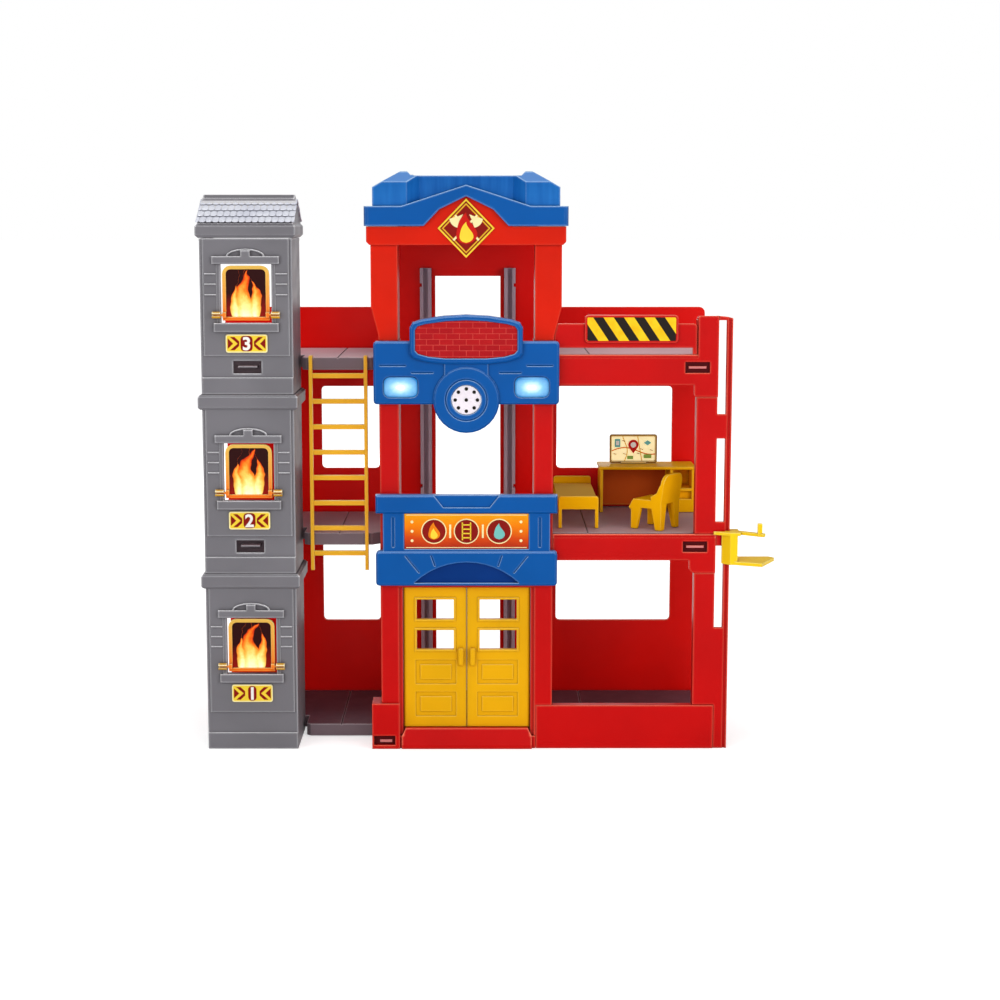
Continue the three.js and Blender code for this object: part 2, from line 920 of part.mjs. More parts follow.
// The head of the central tower: its pillars flare out above the guard rail.
const head = {
  pillarHalf: 69.5,
  inner: 50,
  taperBottom: 309,
  taperTop: 330,
  foot: 64,
  bottom: 374.8,
  overhang: 2.8,
  chamfer: 2.2,
  top: 388.1,
  front: -4.7,
};
const headHalf = head.pillarHalf + head.overhang;

const guard = {
  right: post.left - fit,
  bottom: 300.2,
  height: 17.6,
  front: 1.6,
  thickness: 2.4,
  corner: 2.5,
  board: [86.5, 154.5],
  boardBottom: 303.7,
  boardHeight: 20.4,
  boardThickness: 1.8,
  footWidth: 3,
};

// The band's left edge follows the flare of the tower's pillar.
function guardRail() {
  const ys = [guard.front, guard.front + guard.thickness];
  const left = head.foot + fit;
  const top = guard.bottom + guard.height;
  const flareShare = (top - head.taperBottom) / (head.taperTop - head.taperBottom);
  const topLeft = left + flareShare * (head.pillarHalf - head.foot);
  const bandOutline = [
    [left, guard.bottom],
    ...arc([guard.right - guard.corner, guard.bottom + guard.corner], guard.corner, 3, 4),
    ...arc([guard.right - guard.corner, top - guard.corner], guard.corner, 0, 1),
    [topLeft, top],
    [left, head.taperBottom],
  ];
  const boardZs = [guard.boardBottom, guard.boardBottom + guard.boardHeight];
  const board = prism(
    "front",
    roundedRectangle(guard.board, boardZs, guard.corner),
    [guard.front - guard.boardThickness, ys[1]],
  );
  const footSpans = [[left, left + guard.footWidth], [guard.right - guard.footWidth, guard.right]];
  const feet = footSpans.map((xs) =>
    block(xs, ys, [beamTops[1] + fit, guard.bottom + guard.corner + lap]),
  );
  return join(prism("front", bandOutline, ys), board, ...feet);
}
addPiece("guard_rail", guardRail(), red);

// Central tower: the base with its threshold, plinth and tray

const door = {
  openingHalf: 47.6,
  bottom: 15.7,
  top: 122.2,
  hingeX: 45.4,
  hingeY: 6.5,
  half: 2, // half of its thickness
  middleGap: 0.15,
  clearance: 0.33, // above the threshold
  pinRadius: 1.2,
  pinLength: 3.4,
};
const plinth = {
  left: -70.8,
  right: -50,
  top: 34.6,
  proud: 2,
  back: 20,
  slot: [-69.5, -53.5],
  slotZ: [2.8, 10],
  slotDepth: 3,
};
const threshold = {
  half: 48.7,
  top: door.bottom - door.clearance,
  front: -2.4,
  toe: 3,
  backY: 14,
  flare: 3,
};

function baseCentre() {
  const tray = cut(
    block([-pillarOuter, pillarOuter], [0, floorSeat], [0, groundTop]),
    pocketGrid(
      [-pillarOuter + skin, pillarOuter - skin],
      [threshold.backY, floorSeat - skin],
      4,
      4,
      groundTop,
    ),
  );
  const rampSide = prism(
    "side",
    [
      [threshold.front, 0],
      [threshold.backY, 0],
      [threshold.backY, threshold.top],
      [0, threshold.top],
      [threshold.front, threshold.toe],
    ],
    [-threshold.half, threshold.half],
  );
  const rampFront = prism(
    "front",
    mirrored([
      [threshold.half, 0],
      [threshold.half, groundTop],
      [threshold.half - threshold.flare, threshold.top],
    ]),
    [threshold.front - over, threshold.backY + over],
  );
  const foot = block(
    [plinth.left, plinth.right],
    [-plinth.proud, plinth.back],
    [0, plinth.top],
  );
  const slot = block(plinth.slot, [-plinth.proud - over, plinth.slotDepth - plinth.proud], plinth.slotZ);
  const pinHoles = onBothSides((side) =>
    prism(
      "plan",
      circle([side * door.hingeX, door.hingeY], door.pinRadius + fit, 12),
      [threshold.top - door.pinLength - over, threshold.top + over],
    ),
  );
  const lowWallRoom = block(
    [lowWall.left - fit, pillarOuter + over],
    [-over, wall + fit],
    [-over, lowWall.top],
  );
  const pillars = onBothSides((side) =>
    block(
      sideSpan(side, door.openingHalf - fit, pillarOuter + fit),
      [-fit, floorSeat],
      [groundTop, plinth.top + over],
    ),
  );
  return cut(join(tray, common(rampSide, rampFront), foot), slot, pinHoles, lowWallRoom, pillars);
}
addPiece("base_centre", baseCentre(), red);

// Central tower: the lower and upper frames, moulded channels open to the back

const frame = {
  side: 2.4,
  returnDepth: 36,
  bottom: groundTop + fit,
  lintelBottom: 122.6,
  lintelTop: 186,
  upperLintelBottom: 266,
  top: 305.2,
  shelfDepth: 14,
  reveal: 2.6, // the doorway is wider at its front, where the open doors' mouldings lie
  revealDepth: 2,
};

const pillarReturns = (zs, outer, inner) =>
  onBothSides((side) =>
    join(
      block(sideSpan(side, outer - frame.side, outer), [0, frame.returnDepth], zs),
      block(sideSpan(side, inner, inner + frame.side), [0, frame.returnDepth], zs),
    ),
  );

function lowerFrame() {
  const face = block([-pillarOuter, pillarOuter], [0, wall], [frame.bottom, frame.top]);
  const doorway = block(
    [-door.openingHalf, door.openingHalf],
    [-over, frame.returnDepth + over],
    [0, frame.lintelBottom],
  );
  const reveal = block(
    around(0, door.openingHalf + frame.reveal),
    [-over, frame.revealDepth],
    [0, frame.lintelBottom],
  );
  const middleOpening = block(
    [-pillarInner, pillarInner],
    [-over, frame.returnDepth + over],
    [frame.lintelTop, frame.upperLintelBottom],
  );
  const doorReturns = pillarReturns([frame.bottom, frame.lintelTop], pillarOuter, door.openingHalf);
  const upperReturns = pillarReturns([frame.lintelTop, frame.top], pillarOuter, pillarInner);
  const shelves = [frame.lintelBottom, frame.lintelTop - skin, frame.upperLintelBottom].map((z) =>
    block([-pillarOuter, pillarOuter], [0, frame.shelfDepth], [z, z + skin]),
  );
  const pinHoles = onBothSides((side) =>
    prism(
      "plan",
      circle([side * door.hingeX, door.hingeY], door.pinRadius + fit, 12),
      [frame.lintelBottom - over, frame.lintelBottom + skin + over],
    ),
  );
  const lowWallRoom = block(
    [lowWall.left - fit, pillarOuter + over],
    [-over, wall + fit],
    [0, lowWall.top + fit],
  );
  const openFace = cut(face, doorway, middleOpening);
  return cut(join(openFace, doorReturns, upperReturns, ...shelves), reveal, pinHoles, lowWallRoom);
}
addPiece("tower_frame_lower", lowerFrame(), red);

// The eave's gabled notch: half widths at its foot and knee, and its heights above the head.
const notch = { foot: 30.6, knee: 19.3, kneeRise: 12.2, rise: 21.5 };
const notchKnee = head.top + notch.kneeRise;
const notchPeak = head.top + notch.rise;

function upperFrame() {
  const base = frame.top + fit;
  const pillarOutline = (half) => [
    [half[0], base],
    [half[1], base],
    [half[1], head.taperBottom],
    [half[2], head.taperTop],
    [half[2], head.bottom + lap],
    [half[0], head.bottom + lap],
  ];
  const pillar = (side, span, xs) =>
    prism("front", pillarOutline(xs).map(([x, z]) => [side * x, z]), span);
  const pillars = onBothSides((side) => {
    const xs = [head.inner, head.foot, head.pillarHalf];
    const face = pillar(side, [0, wall], xs);
    const shell = pillar(side, [0, frame.returnDepth], xs);
    const hollow = prism(
      "front",
      [
        [head.inner + frame.side, base - over],
        [head.foot - frame.side, base - over],
        [head.foot - frame.side, head.taperBottom],
        [head.pillarHalf - frame.side, head.taperTop],
        [head.pillarHalf - frame.side, head.bottom + 2 * over],
        [head.inner + frame.side, head.bottom + 2 * over],
      ].map(([x, z]) => [side * x, z]),
      [wall, frame.returnDepth + over],
    );
    return join(face, cut(shell, hollow));
  });
  const headOutline = mirrored([
    [headHalf - head.chamfer, head.bottom],
    [headHalf, head.bottom + head.chamfer],
    [headHalf, head.top],
  ]);
  const headShell = cut(
    prism("front", headOutline, [head.front, frame.returnDepth]),
    block(
      [-headHalf + frame.side, headHalf - frame.side],
      [head.front + wall, frame.returnDepth + over],
      [head.bottom + skin, head.top - skin],
    ),
    block(
      [-head.inner, head.inner],
      [head.front + wall, frame.returnDepth + over],
      [head.bottom - over, head.bottom + skin + over],
    ),
  );
  const pediment = prism(
    "front",
    mirrored([
      [notch.foot + wall, head.top - lap],
      [notch.foot + wall, head.top + wall],
      [notch.knee + wall, notchKnee + wall],
      [0, notchPeak + wall],
    ]),
    [head.front, head.front + wall],
  );
  return join(pillars, headShell, pediment);
}
addPiece("tower_frame_upper", upperFrame(), red);

// Blue roof: an eave band with a gabled front, over it a parapet whose corners stand up as merlons

const crown = {
  eaveLip: 5.8,
  eaveFront: -8,
  eaveHeight: 14.2,
  gableFoot: 46.7,
  gableRise: 15.1,
  backLip: 2,
  half: 68,
  front: 0.6,
  recess: 9,
  merlonInner: 43,
  recessHalf: 34,
  merlonRise: 25.1,
  merlonPeak: 48,
  merlonDepth: 12,
  merlonSlope: 7.7,
  outerDrop: 11.4,
  middleDrop: 3.1,
  deckRise: 1.4,
  shell: 3,
};
const eaveHalf = crown.half + crown.eaveLip;
const eaveBottom = head.top + fit;
const eaveTop = eaveBottom + crown.eaveHeight;
const gablePeak = eaveTop + crown.gableRise;
const roofDeck = eaveTop + crown.deckRise;
const merlonTop = eaveTop + crown.merlonRise;
const merlonFront = merlonTop - crown.merlonSlope;
const merlonOuter = merlonTop - crown.outerDrop;
const parapetMiddle = merlonTop - crown.middleDrop;

function roofCap() {
  const back = stationDepth + crown.backLip;
  const ys = [crown.eaveFront, back];
  const eave = prism(
    "plan",
    roundedRectangle([-eaveHalf, eaveHalf], ys, crown.shell, 2),
    [eaveBottom, eaveTop],
  );
  const gableFront = prism(
    "front",
    [
      [crown.gableFoot, eaveTop - over],
      [crown.gableFoot, eaveTop],
      [0, gablePeak],
      [-crown.gableFoot, eaveTop],
      [-crown.gableFoot, eaveTop - over],
    ],
    [crown.eaveFront, crown.front + crown.recess + over],
  );
  const notchCut = prism(
    "front",
    [
      [notch.foot, eaveBottom - over],
      [notch.foot, eaveBottom],
      [notch.knee, notchKnee],
      [0, notchPeak],
      [-notch.knee, notchKnee],
      [-notch.foot, eaveBottom],
      [-notch.foot, eaveBottom - over],
    ],
    [crown.eaveFront - over, head.front],
  );
  // The room behind the front band for the red pediment.
  const pedimentRoom = prism(
    "front",
    [
      [notch.foot + wall + fit, eaveBottom - over],
      [notch.foot + wall + fit, head.top + wall + fit],
      [notch.knee + wall + fit, notchKnee + wall + fit],
      [0, notchPeak + wall + 2 * fit],
      [-notch.knee - wall - fit, notchKnee + wall + fit],
      [-notch.foot - wall - fit, head.top + wall + fit],
      [-notch.foot - wall - fit, eaveBottom - over],
    ],
    [head.front - fit, head.front + wall + fit],
  );
  const crownBack = stationDepth - crown.front;
  const recessed = [crown.front + crown.recess, crownBack - crown.recess];
  const plan = [
    [-crown.half, crown.front],
    [-crown.merlonInner, crown.front],
    [-crown.recessHalf, recessed[0]],
    [crown.recessHalf, recessed[0]],
    [crown.merlonInner, crown.front],
    [crown.half, crown.front],
    [crown.half, crownBack],
    [crown.merlonInner, crownBack],
    [crown.recessHalf, recessed[1]],
    [-crown.recessHalf, recessed[1]],
    [-crown.merlonInner, crownBack],
    [-crown.half, crownBack],
  ];
  const skyline = mirrored([
    [crown.half + over, eaveTop - over],
    [crown.half + over, merlonOuter - over / 2],
    [crown.half, merlonOuter],
    [crown.merlonPeak, merlonTop],
    [crown.merlonInner, merlonTop],
    [crown.merlonInner - wall, parapetMiddle],
  ]);
  const parapet = common(
    prism("plan", plan, [eaveTop - lap, merlonTop + over]),
    prism("front", skyline, [0, stationDepth]),
  );
  const deckRoom = block(
    around(0, crown.half - crown.shell),
    [crown.front + crown.merlonDepth, crownBack - crown.merlonDepth],
    [roofDeck, merlonTop + over],
  );
  // The merlons' tops slope up from the front and back faces.
  const slopeAt = (face, inward) =>
    prism(
      "side",
      [
        [face - inward, merlonFront - over],
        [face, merlonFront],
        [face + inward * crown.merlonDepth, merlonTop],
        [face + inward * crown.merlonDepth, merlonTop + over],
        [face - inward, merlonTop + over],
      ],
      around(0, crown.half + over),
    );
  const slopes = [slopeAt(crown.front, 1), slopeAt(crownBack, -1)];
  const under = block(
    [-eaveHalf + crown.shell, eaveHalf - crown.shell],
    [head.front + wall + fit, back - crown.shell],
    [eaveBottom - over, roofDeck - 2 * crown.shell],
  );
  const frontSpace = block(
    [-eaveHalf + crown.shell, eaveHalf - crown.shell],
    [head.front - fit, head.front + wall + 2 * fit],
    [eaveBottom - over, roofDeck - 2 * crown.shell],
  );
  const body = cut(join(eave, gableFront, parapet), deckRoom, ...slopes);
  return cut(body, notchCut, pedimentRoom, under, frontSpace);
}
addPiece("roof_cap", roofCap(), blue);

const emblem = { half: 20.6, bottom: 365.6, top: 407.9, thickness: 0.9 };
const emblemMiddle = (emblem.bottom + emblem.top) / 2;
addPiece(
  "emblem_plate",
  prism(
    "front",
    [[0, emblem.bottom], [emblem.half, emblemMiddle], [0, emblem.top], [-emblem.half, emblemMiddle]],
    [head.front - fit - emblem.thickness, head.front - fit],
  ),
  yellow,
);

// Upper fascia: a shell with a framed sign, a round speaker boss and two lamp openings

const fascia = {
  half: 67.6,
  bottom: 259.6,
  top: 305.4,
  front: -8,
  back: -fit,
  corner: 2.5,
  bevel: 1.2,
  shell: 2.4,
  grooves: [[287.9, 44, 63], [282.7, 24, 40]],
  grooveWidth: 0.9,
  grooveDepth: 0.6,
};
const sign = { half: 41, bottom: 289.4, top: 324.8, front: -12, rim: 3.8, recess: 2.6, panel: 1.6 };
const signShares = [
  [0.4, 0],
  [0.74, 0.045],
  [0.94, 0.12],
  [1, 0.21],
  [1, 0.74],
  [0.95, 0.84],
  [0.8, 0.9],
  [0.4, 0.975],
  [0, 1],
];
const boss = { z: 263, radius: 24.2, front: -10.4, ring: 15.5, ringWidth: 0.9, disc: 10.7, neck: 16 };
const lens = { inner: 35.1, outer: 60.4, bottom: 264.5, top: 279.8, corner: 4.5, front: -10.2 };
const grilleHoles = { count: 8, circle: 8.1, radius: 1.2 };

// The sign's outline, drawn in by an inset.
function signOutline(inset) {
  const half = sign.half - inset;
  const height = sign.top - sign.bottom - 2 * inset;
  const right = signShares.map(([a, b]) => [a * half, sign.bottom + inset + b * height]);
  return [...right, ...right.slice(0, -1).map(([x, z]) => [-x, z]).reverse()];
}

function signFascia() {
  const plateForm = prism(
    "front",
    roundedRectangle([-fascia.half, fascia.half], [fascia.bottom, fascia.top], fascia.corner),
    [fascia.front, fascia.back + fascia.bevel],
    fascia.bevel,
  );
  const bossForm = prism(
    "front",
    circle([0, boss.z], boss.radius, 32),
    [boss.front, fascia.back + fascia.bevel],
    fascia.bevel,
  );
  const neck = block(
    [-boss.neck, boss.neck],
    [boss.front + fascia.bevel, fascia.back],
    [boss.z, sign.bottom + sign.rim],
  );
  const signFrame = prism("front", signOutline(0), [sign.front, fascia.back + fascia.bevel], fascia.bevel);
  const signRecess = prism("front", signOutline(sign.rim), [sign.front - over, sign.front + sign.recess]);
  const lensHoles = onBothSides((side) =>
    prism(
      "front",
      roundedRectangle(sideSpan(side, lens.inner, lens.outer), [lens.bottom, lens.top], lens.corner),
      [fascia.front - over, fascia.back + over],
    ),
  );
  const ring = cut(
    prism("front", circle([0, boss.z], boss.ring, 32), [boss.front - over, boss.front + fascia.grooveDepth]),
    prism(
      "front",
      circle([0, boss.z], boss.ring - boss.ringWidth, 32),
      [boss.front - 2 * over, boss.front + 2 * over],
    ),
  );
  const discHole = prism(
    "front",
    circle([0, boss.z], boss.disc + fit, 24),
    [boss.front - over, fascia.back + over],
  );
  const grooves = fascia.grooves.map(([z, inner, outer]) =>
    onBothSides((side) =>
      block(
        sideSpan(side, inner, outer),
        [fascia.front - over, fascia.front + fascia.grooveDepth],
        around(z, fascia.grooveWidth / 2),
      ),
    ),
  );
  // The hollow back, with a wall left round the boss and the lamps.
  const hollows = onBothSides((side) =>
    block(
      sideSpan(side, boss.radius + fascia.shell, fascia.half - fascia.shell),
      [fascia.front + fascia.shell, fascia.back + over],
      [lens.top + fascia.shell, fascia.top - fascia.shell],
    ),
  );
  const bossHollow = cut(
    prism(
      "front",
      circle([0, boss.z], boss.radius - fascia.shell, 24),
      [boss.front + fascia.shell, fascia.back + over],
    ),
    prism(
      "front",
      circle([0, boss.z], boss.disc + fit + fascia.shell, 24),
      [boss.front, fascia.back + 2 * over],
    ),
  );
  const behind = block(
    [-fascia.half - over, fascia.half + over],
    [fascia.back, fascia.back + 2 * fascia.bevel + over],
    [boss.z - boss.radius - over, sign.top + over],
  );
  const body = join(plateForm, bossForm, neck, signFrame);
  return cut(body, signRecess, lensHoles, ring, discHole, hollows, bossHollow, behind, ...grooves);
}
addPiece("sign_fascia", signFascia(), blue);

const signSeat = sign.front + sign.recess - fit;
addPiece("sign_panel", prism("front", signOutline(sign.rim + fit), [signSeat - sign.panel, signSeat]), red);

function speakerGrille() {
  const ys = [boss.front + fascia.grooveDepth, fascia.back];
  const through = [ys[0] - over, ys[1] + over];
  const holeAt = (x, z) => prism("front", circle([x, z], grilleHoles.radius, 8), through);
  const ringHoles = Array.from({ length: grilleHoles.count }, (_, i) => {
    const angle = (2 * Math.PI * i) / grilleHoles.count;
    return holeAt(grilleHoles.circle * Math.sin(angle), boss.z + grilleHoles.circle * Math.cos(angle));
  });
  return cut(prism("front", circle([0, boss.z], boss.disc, 24), ys), holeAt(0, boss.z), ...ringHoles);
}
addPiece("speaker_grille", speakerGrille(), white);

for (const [side, name] of [[-1, "lens_left"], [1, "lens_right"]]) {
  const xs = sideSpan(side, lens.inner + fit, lens.outer - fit);
  addPiece(
    name,
    prism(
      "front",
      roundedRectangle(xs, [lens.bottom + fit, lens.top - fit], lens.corner - fit, 4),
      [lens.front, fascia.back],
      fascia.bevel,
    ),
    lensBlue,
  );
}

// The sound unit behind the upper fascia, with its battery door

const soundBox = { sideGap: 5.2, depth: 22, bottom: 272, top: 301, corner: 3 };
const soundHalf = pillarInner - soundBox.sideGap;
const batteryDoor = { half: 22, bottom: 275.5, top: 297.5, thickness: 1.6 };
const soundFront = wall + fit;
const soundBack = soundFront + soundBox.depth;
addPiece(
  "sound_box",
  prism(
    "front",
    roundedRectangle([-soundHalf, soundHalf], [soundBox.bottom, soundBox.top], soundBox.corner),
    [soundFront, soundBack],
    fascia.bevel,
  ),
  blue,
);
addPiece(
  "battery_door",
  prism(
    "front",
    roundedRectangle(
      [-batteryDoor.half, batteryDoor.half],
      [batteryDoor.bottom, batteryDoor.top],
      soundBox.corner,
    ),
    [soundBack + fit, soundBack + fit + batteryDoor.thickness],
  ),
  blue,
);

// Balcony fascia with the name board: rail, recessed middle, lower band with an arched recess

const balcony = {
  half: 66.8,
  middleHalf: 61.5,
  railTop: 192.8,
  railBottom: 179.2,
  bandTop: 151,
  bandBottom: 125.2,
  front: -8,
  middleFront: -6.4,
  notchTop: 25,
  notchBottom: 17,
  notchZ: 183.7,
  grooveX: 54,
  grooveZ: [154, 176],
  archHalf: 38.6,
  archBottom: 127.4,
  archRise: 15.4,
  archDepth: 2.6,
  // The joints between the stones of the arch, from their upper to their lower ends.
  stoneJoints: [[[45, 147.7], [34.9, 135]], [[26, 148], [23.3, 140]]],
};
const namePlate = { half: 45.6, bottom: 152.8, top: 178.8, recess: 1.6, thickness: 1 };

// A circle segment over a chord, as an outline.
function segment(half, bottom, rise, steps = 12) {
  const radius = (half * half + rise * rise) / (2 * rise);
  const spread = Math.atan2(half, radius - rise) / (Math.PI / 2);
  return arc([0, bottom + rise - radius], radius, 1 - spread, 1 + spread, steps);
}

function balconyFascia() {
  const back = fascia.back;
  const bevelBack = back + fascia.bevel;
  const railForm = prism(
    "front",
    rectangle([-balcony.half, balcony.half], [balcony.railBottom, balcony.railTop]),
    [balcony.front, bevelBack],
    fascia.bevel,
  );
  const middle = block(
    [-balcony.middleHalf, balcony.middleHalf],
    [balcony.middleFront, back],
    [balcony.bandTop - fascia.bevel, balcony.railBottom + fascia.bevel],
  );
  const band = prism(
    "front",
    roundedRectangle([-balcony.half, balcony.half], [balcony.bandBottom, balcony.bandTop], fascia.corner),
    [balcony.front, bevelBack],
    fascia.bevel,
  );
  const notchForm = prism(
    "front",
    mirrored([
      [balcony.notchBottom, balcony.notchZ],
      [balcony.notchTop, balcony.railTop + over],
    ]),
    [balcony.front - over, balcony.front + fascia.bevel],
  );
  const grooves = onBothSides((side) =>
    block(
      around(side * balcony.grooveX, fascia.grooveWidth),
      [balcony.middleFront - over, balcony.middleFront + fascia.grooveDepth],
      balcony.grooveZ,
    ),
  );
  const jointCut = (side, [[x1, z1], [x0, z0]]) => {
    const half = fascia.grooveWidth / 2;
    const outline = [[x0 - half, z0], [x0 + half, z0], [x1 + half, z1], [x1 - half, z1]];
    return prism(
      "front",
      side > 0 ? outline : outline.map(([x, z]) => [-x, z]),
      [balcony.front - over, balcony.front + fascia.grooveDepth],
    );
  };
  const stoneJoints = balcony.stoneJoints.map((ends) => onBothSides((side) => jointCut(side, ends)));
  const arch = prism(
    "front",
    segment(balcony.archHalf, balcony.archBottom, balcony.archRise),
    [balcony.front - over, balcony.front + balcony.archDepth],
  );
  const plateSeat = block(
    [-namePlate.half - fit, namePlate.half + fit],
    [balcony.front - over, balcony.middleFront + namePlate.recess],
    [namePlate.bottom - fit, namePlate.top + fit],
  );
  const hollow = block(
    [-balcony.middleHalf + fascia.shell, balcony.middleHalf - fascia.shell],
    [balcony.middleFront + namePlate.recess + fascia.shell / 2, back + over],
    [balcony.bandBottom + fascia.shell, balcony.railTop - fascia.shell],
  );
  const behind = block(
    [-balcony.half - over, balcony.half + over],
    [back, bevelBack + over],
    [balcony.bandBottom - over, balcony.railTop + over],
  );
  const body = join(railForm, middle, band);
  return cut(body, notchForm, grooves, ...stoneJoints, arch, plateSeat, hollow, behind);
}
addPiece("balcony_fascia", balconyFascia(), blue);

const nameSeat = balcony.middleFront + namePlate.recess - fit;
addPiece(
  "name_plate",
  block(
    [-namePlate.half, namePlate.half],
    [nameSeat - namePlate.thickness, nameSeat],
    [namePlate.bottom, namePlate.top],
  ),
  orange,
);

// Doors, drawn about their hinge pins, with two windows, two raised fields and a grip each

const leaf = {
  windowInner: 9.7,
  windowOuter: 37.3,
  windows: [[74.8, 89.6], [97.7, 112.8]],
  fieldInner: 8,
  fieldOuter: 38.2,
  fields: [[23.8, 42.2], [48.4, 66.7]],
  moulding: 1.6,
  relief: 0.8,
  field: 3.4,
  grip: [2.3, 6.5],
  gripZ: [62.6, 76.3],
  gripProud: 3.4,
};

function doorLeaf(side) {
  // Distances from the tower's middle, turned into places about the hinge.
  const fromHinge = (inner, outer) => sideSpan(side, inner - door.hingeX, outer - door.hingeX);
  const edge = fromHinge(door.middleGap, door.hingeX);
  const slab = join(
    block(edge, [-door.half, door.half], [door.bottom, door.top]),
    prism("plan", circle([0, 0], door.half, 16), [door.bottom, door.top]),
  );
  const openings = leaf.windows.map((zs) =>
    block(fromHinge(leaf.windowInner, leaf.windowOuter), [-door.half - over, door.half + over], zs),
  );
  const widen = ([from, to], by) => [from - by, to + by];
  const frames = leaf.windows.map((zs) =>
    block(
      widen(fromHinge(leaf.windowInner, leaf.windowOuter), leaf.moulding),
      [-door.half - leaf.relief, 0],
      widen(zs, leaf.moulding),
    ),
  );
  // Each lower field is a raised panel with a sunk channel round it, on both faces.
  const channels = leaf.fields.flatMap((zs) =>
    [-1, 1].map((face) => {
      const xs = fromHinge(leaf.fieldInner, leaf.fieldOuter);
      const ys = sideSpan(face, door.half - leaf.relief, door.half + over);
      return cut(
        block(xs, ys, zs),
        block(widen(xs, -leaf.field), widen(ys, over), widen(zs, -leaf.field)),
      );
    }),
  );
  const grip = prism(
    "front",
    roundedRectangle(fromHinge(leaf.grip[0], leaf.grip[1]), leaf.gripZ, leaf.moulding, 2),
    [-door.half - leaf.gripProud, 0],
    leaf.relief,
  );
  const pins = prism(
    "plan",
    circle([0, 0], door.pinRadius, 12),
    [door.bottom - door.pinLength, door.top + door.pinLength],
  );
  return join(cut(join(slab, ...frames), ...openings, ...channels), grip, pins);
}

for (const [side, name] of [[-1, "door_left"], [1, "door_right"]]) {
  addPiece(name, doorLeaf(side), doorYellow, placeGroup(side * door.hingeX, door.hingeY, 0));
}

// Ladder, drawn about the tips of its hooks

const ladderRungs = { count: 8, top: 277.3, pitch: 19.2, height: 3.7, depth: 2.6 };
const ladderBottom = 130;
const hookTip = 1.1;
const hookBar = 1.2;
const hookSink = 0.88;
const hookAxisZ = roofTop - hookSink;

function hookedLadder() {
  const back = bay.front - fit - hook.axisY;
  const front = back - ladder.depth;
  const barBottom = roofTop + fit - hookAxisZ;
  const barTop = barBottom + hookBar;
  const rails = onBothSides((side) => {
    const xs = sideSpan(side, ladder.half - ladder.rail, ladder.half);
    const tip = join(
      prism("side", circle([0, 0], hookTip, 12), xs),
      block(xs, [-hookTip, hookTip], [0, barTop]),
    );
    return join(
      block(xs, [front, back], [ladderBottom - hookAxisZ, barTop]),
      block(xs, [front, hookTip], [barBottom, barTop]),
      tip,
    );
  });
  const rungs = Array.from({ length: ladderRungs.count }, (_, i) =>
    block(
      [-ladder.half + fit, ladder.half - fit],
      around((front + back) / 2, ladderRungs.depth / 2),
      around(ladderRungs.top - i * ladderRungs.pitch - hookAxisZ, ladderRungs.height / 2),
    ),
  );
  return join(rails, ...rungs);
}
addPiece("ladder", hookedLadder(), yellow, placeGroup(ladder.middle, hook.axisY, hookAxisZ));

// Lift carriage, drawn about the middle of the rail's outer strip: jaws with beads that run in the
// strip's grooves, a wedge in front with a pointed plate on top, an arm with a peg, and a platform

const lift = {
  height: 155, // its middle at rest
  half: 10,
  bodyRight: 7.9,
  jaw: 2.2,
  jawReach: 1.6,
  bead: 0.7,
  beadWidth: 1.2,
  nose: [1.4, -13],
  wedgeLeft: -4.2,
  wedgeRight: 7,
  wedgeTop: 8,
  headTip: [-10.2, -6.3],
  headRight: 9.1,
  headZ: [7.6, 10],
  armZ: [8, 10.4],
  armFoot: [[8.5, -9.5], [24.5, -21.5]],
  armBack: [[26.5, -18], [8.5, -4]],
  pegX: [20.7, 24.1],
  pegY: [-19.2, -15.8],
  pegTop: 17.6,
  platformZ: [-14, -11.4],
  platformLeft: [[1.4, -8], [4, -13]],
  platformRight: [[24, -22], [36.5, 5], [33, 10]],
};
const liftX = (rail.plateRight + rail.right) / 2;
const liftY = post.front + rail.stripDepth / 2;

function liftCarriage() {
  const stripHalf = rail.stripDepth / 2;
  const outside = rail.right - liftX + fit;
  const jawYs = [stripHalf + fit, stripHalf + fit + lift.jaw];
  const zs = [-lift.half, lift.half];
  const body = block([outside, lift.bodyRight], [-jawYs[1], jawYs[1]], zs);
  const jaws = onBothSides((side) => {
    const ys = sideSpan(side, ...jawYs);
    const beadYs = sideSpan(side, jawYs[0] - lift.bead, jawYs[0] + fit);
    return join(
      block([-lift.jawReach, outside + fit], ys, zs),
      block(around(0, lift.beadWidth / 2), beadYs, zs),
    );
  });
  const wedge = prism(
    "plan",
    [
      [lift.wedgeLeft, -jawYs[1] + fit],
      lift.nose,
      [lift.wedgeRight, lift.nose[1]],
      [lift.bodyRight, -jawYs[1] + fit],
    ],
    [lift.platformZ[0], lift.wedgeTop],
  );
  const headPlate = prism(
    "plan",
    [
      lift.headTip,
      lift.nose,
      [lift.headRight, lift.nose[1]],
      [lift.headRight, jawYs[1]],
      [outside, jawYs[1]],
      [outside, -jawYs[0]],
      [-lift.jawReach, -jawYs[0]],
      [-lift.jawReach, -jawYs[1]],
    ],
    lift.headZ,
  );
  const arm = prism("plan", [...lift.armFoot, ...lift.armBack], lift.armZ);
  const peg = block(lift.pegX, lift.pegY, [lift.armZ[0], lift.pegTop]);
  const platformBack = lift.platformRight.at(-1)[1];
  const platform = prism(
    "plan",
    [
      [outside, platformBack],
      [outside, -jawYs[0]],
      ...lift.platformLeft,
      ...lift.platformRight,
    ],
    lift.platformZ,
  );
  const web = block(
    [outside, lift.bodyRight],
    [-jawYs[1], jawYs[1]],
    [lift.platformZ[0], -lift.half + fit],
  );
  return join(body, jaws, wedge, headPlate, arm, peg, platform, web);
}
addPiece("lift_carriage", liftCarriage(), yellow, placeGroup(liftX, liftY, lift.height));

// Furniture on the middle right floor

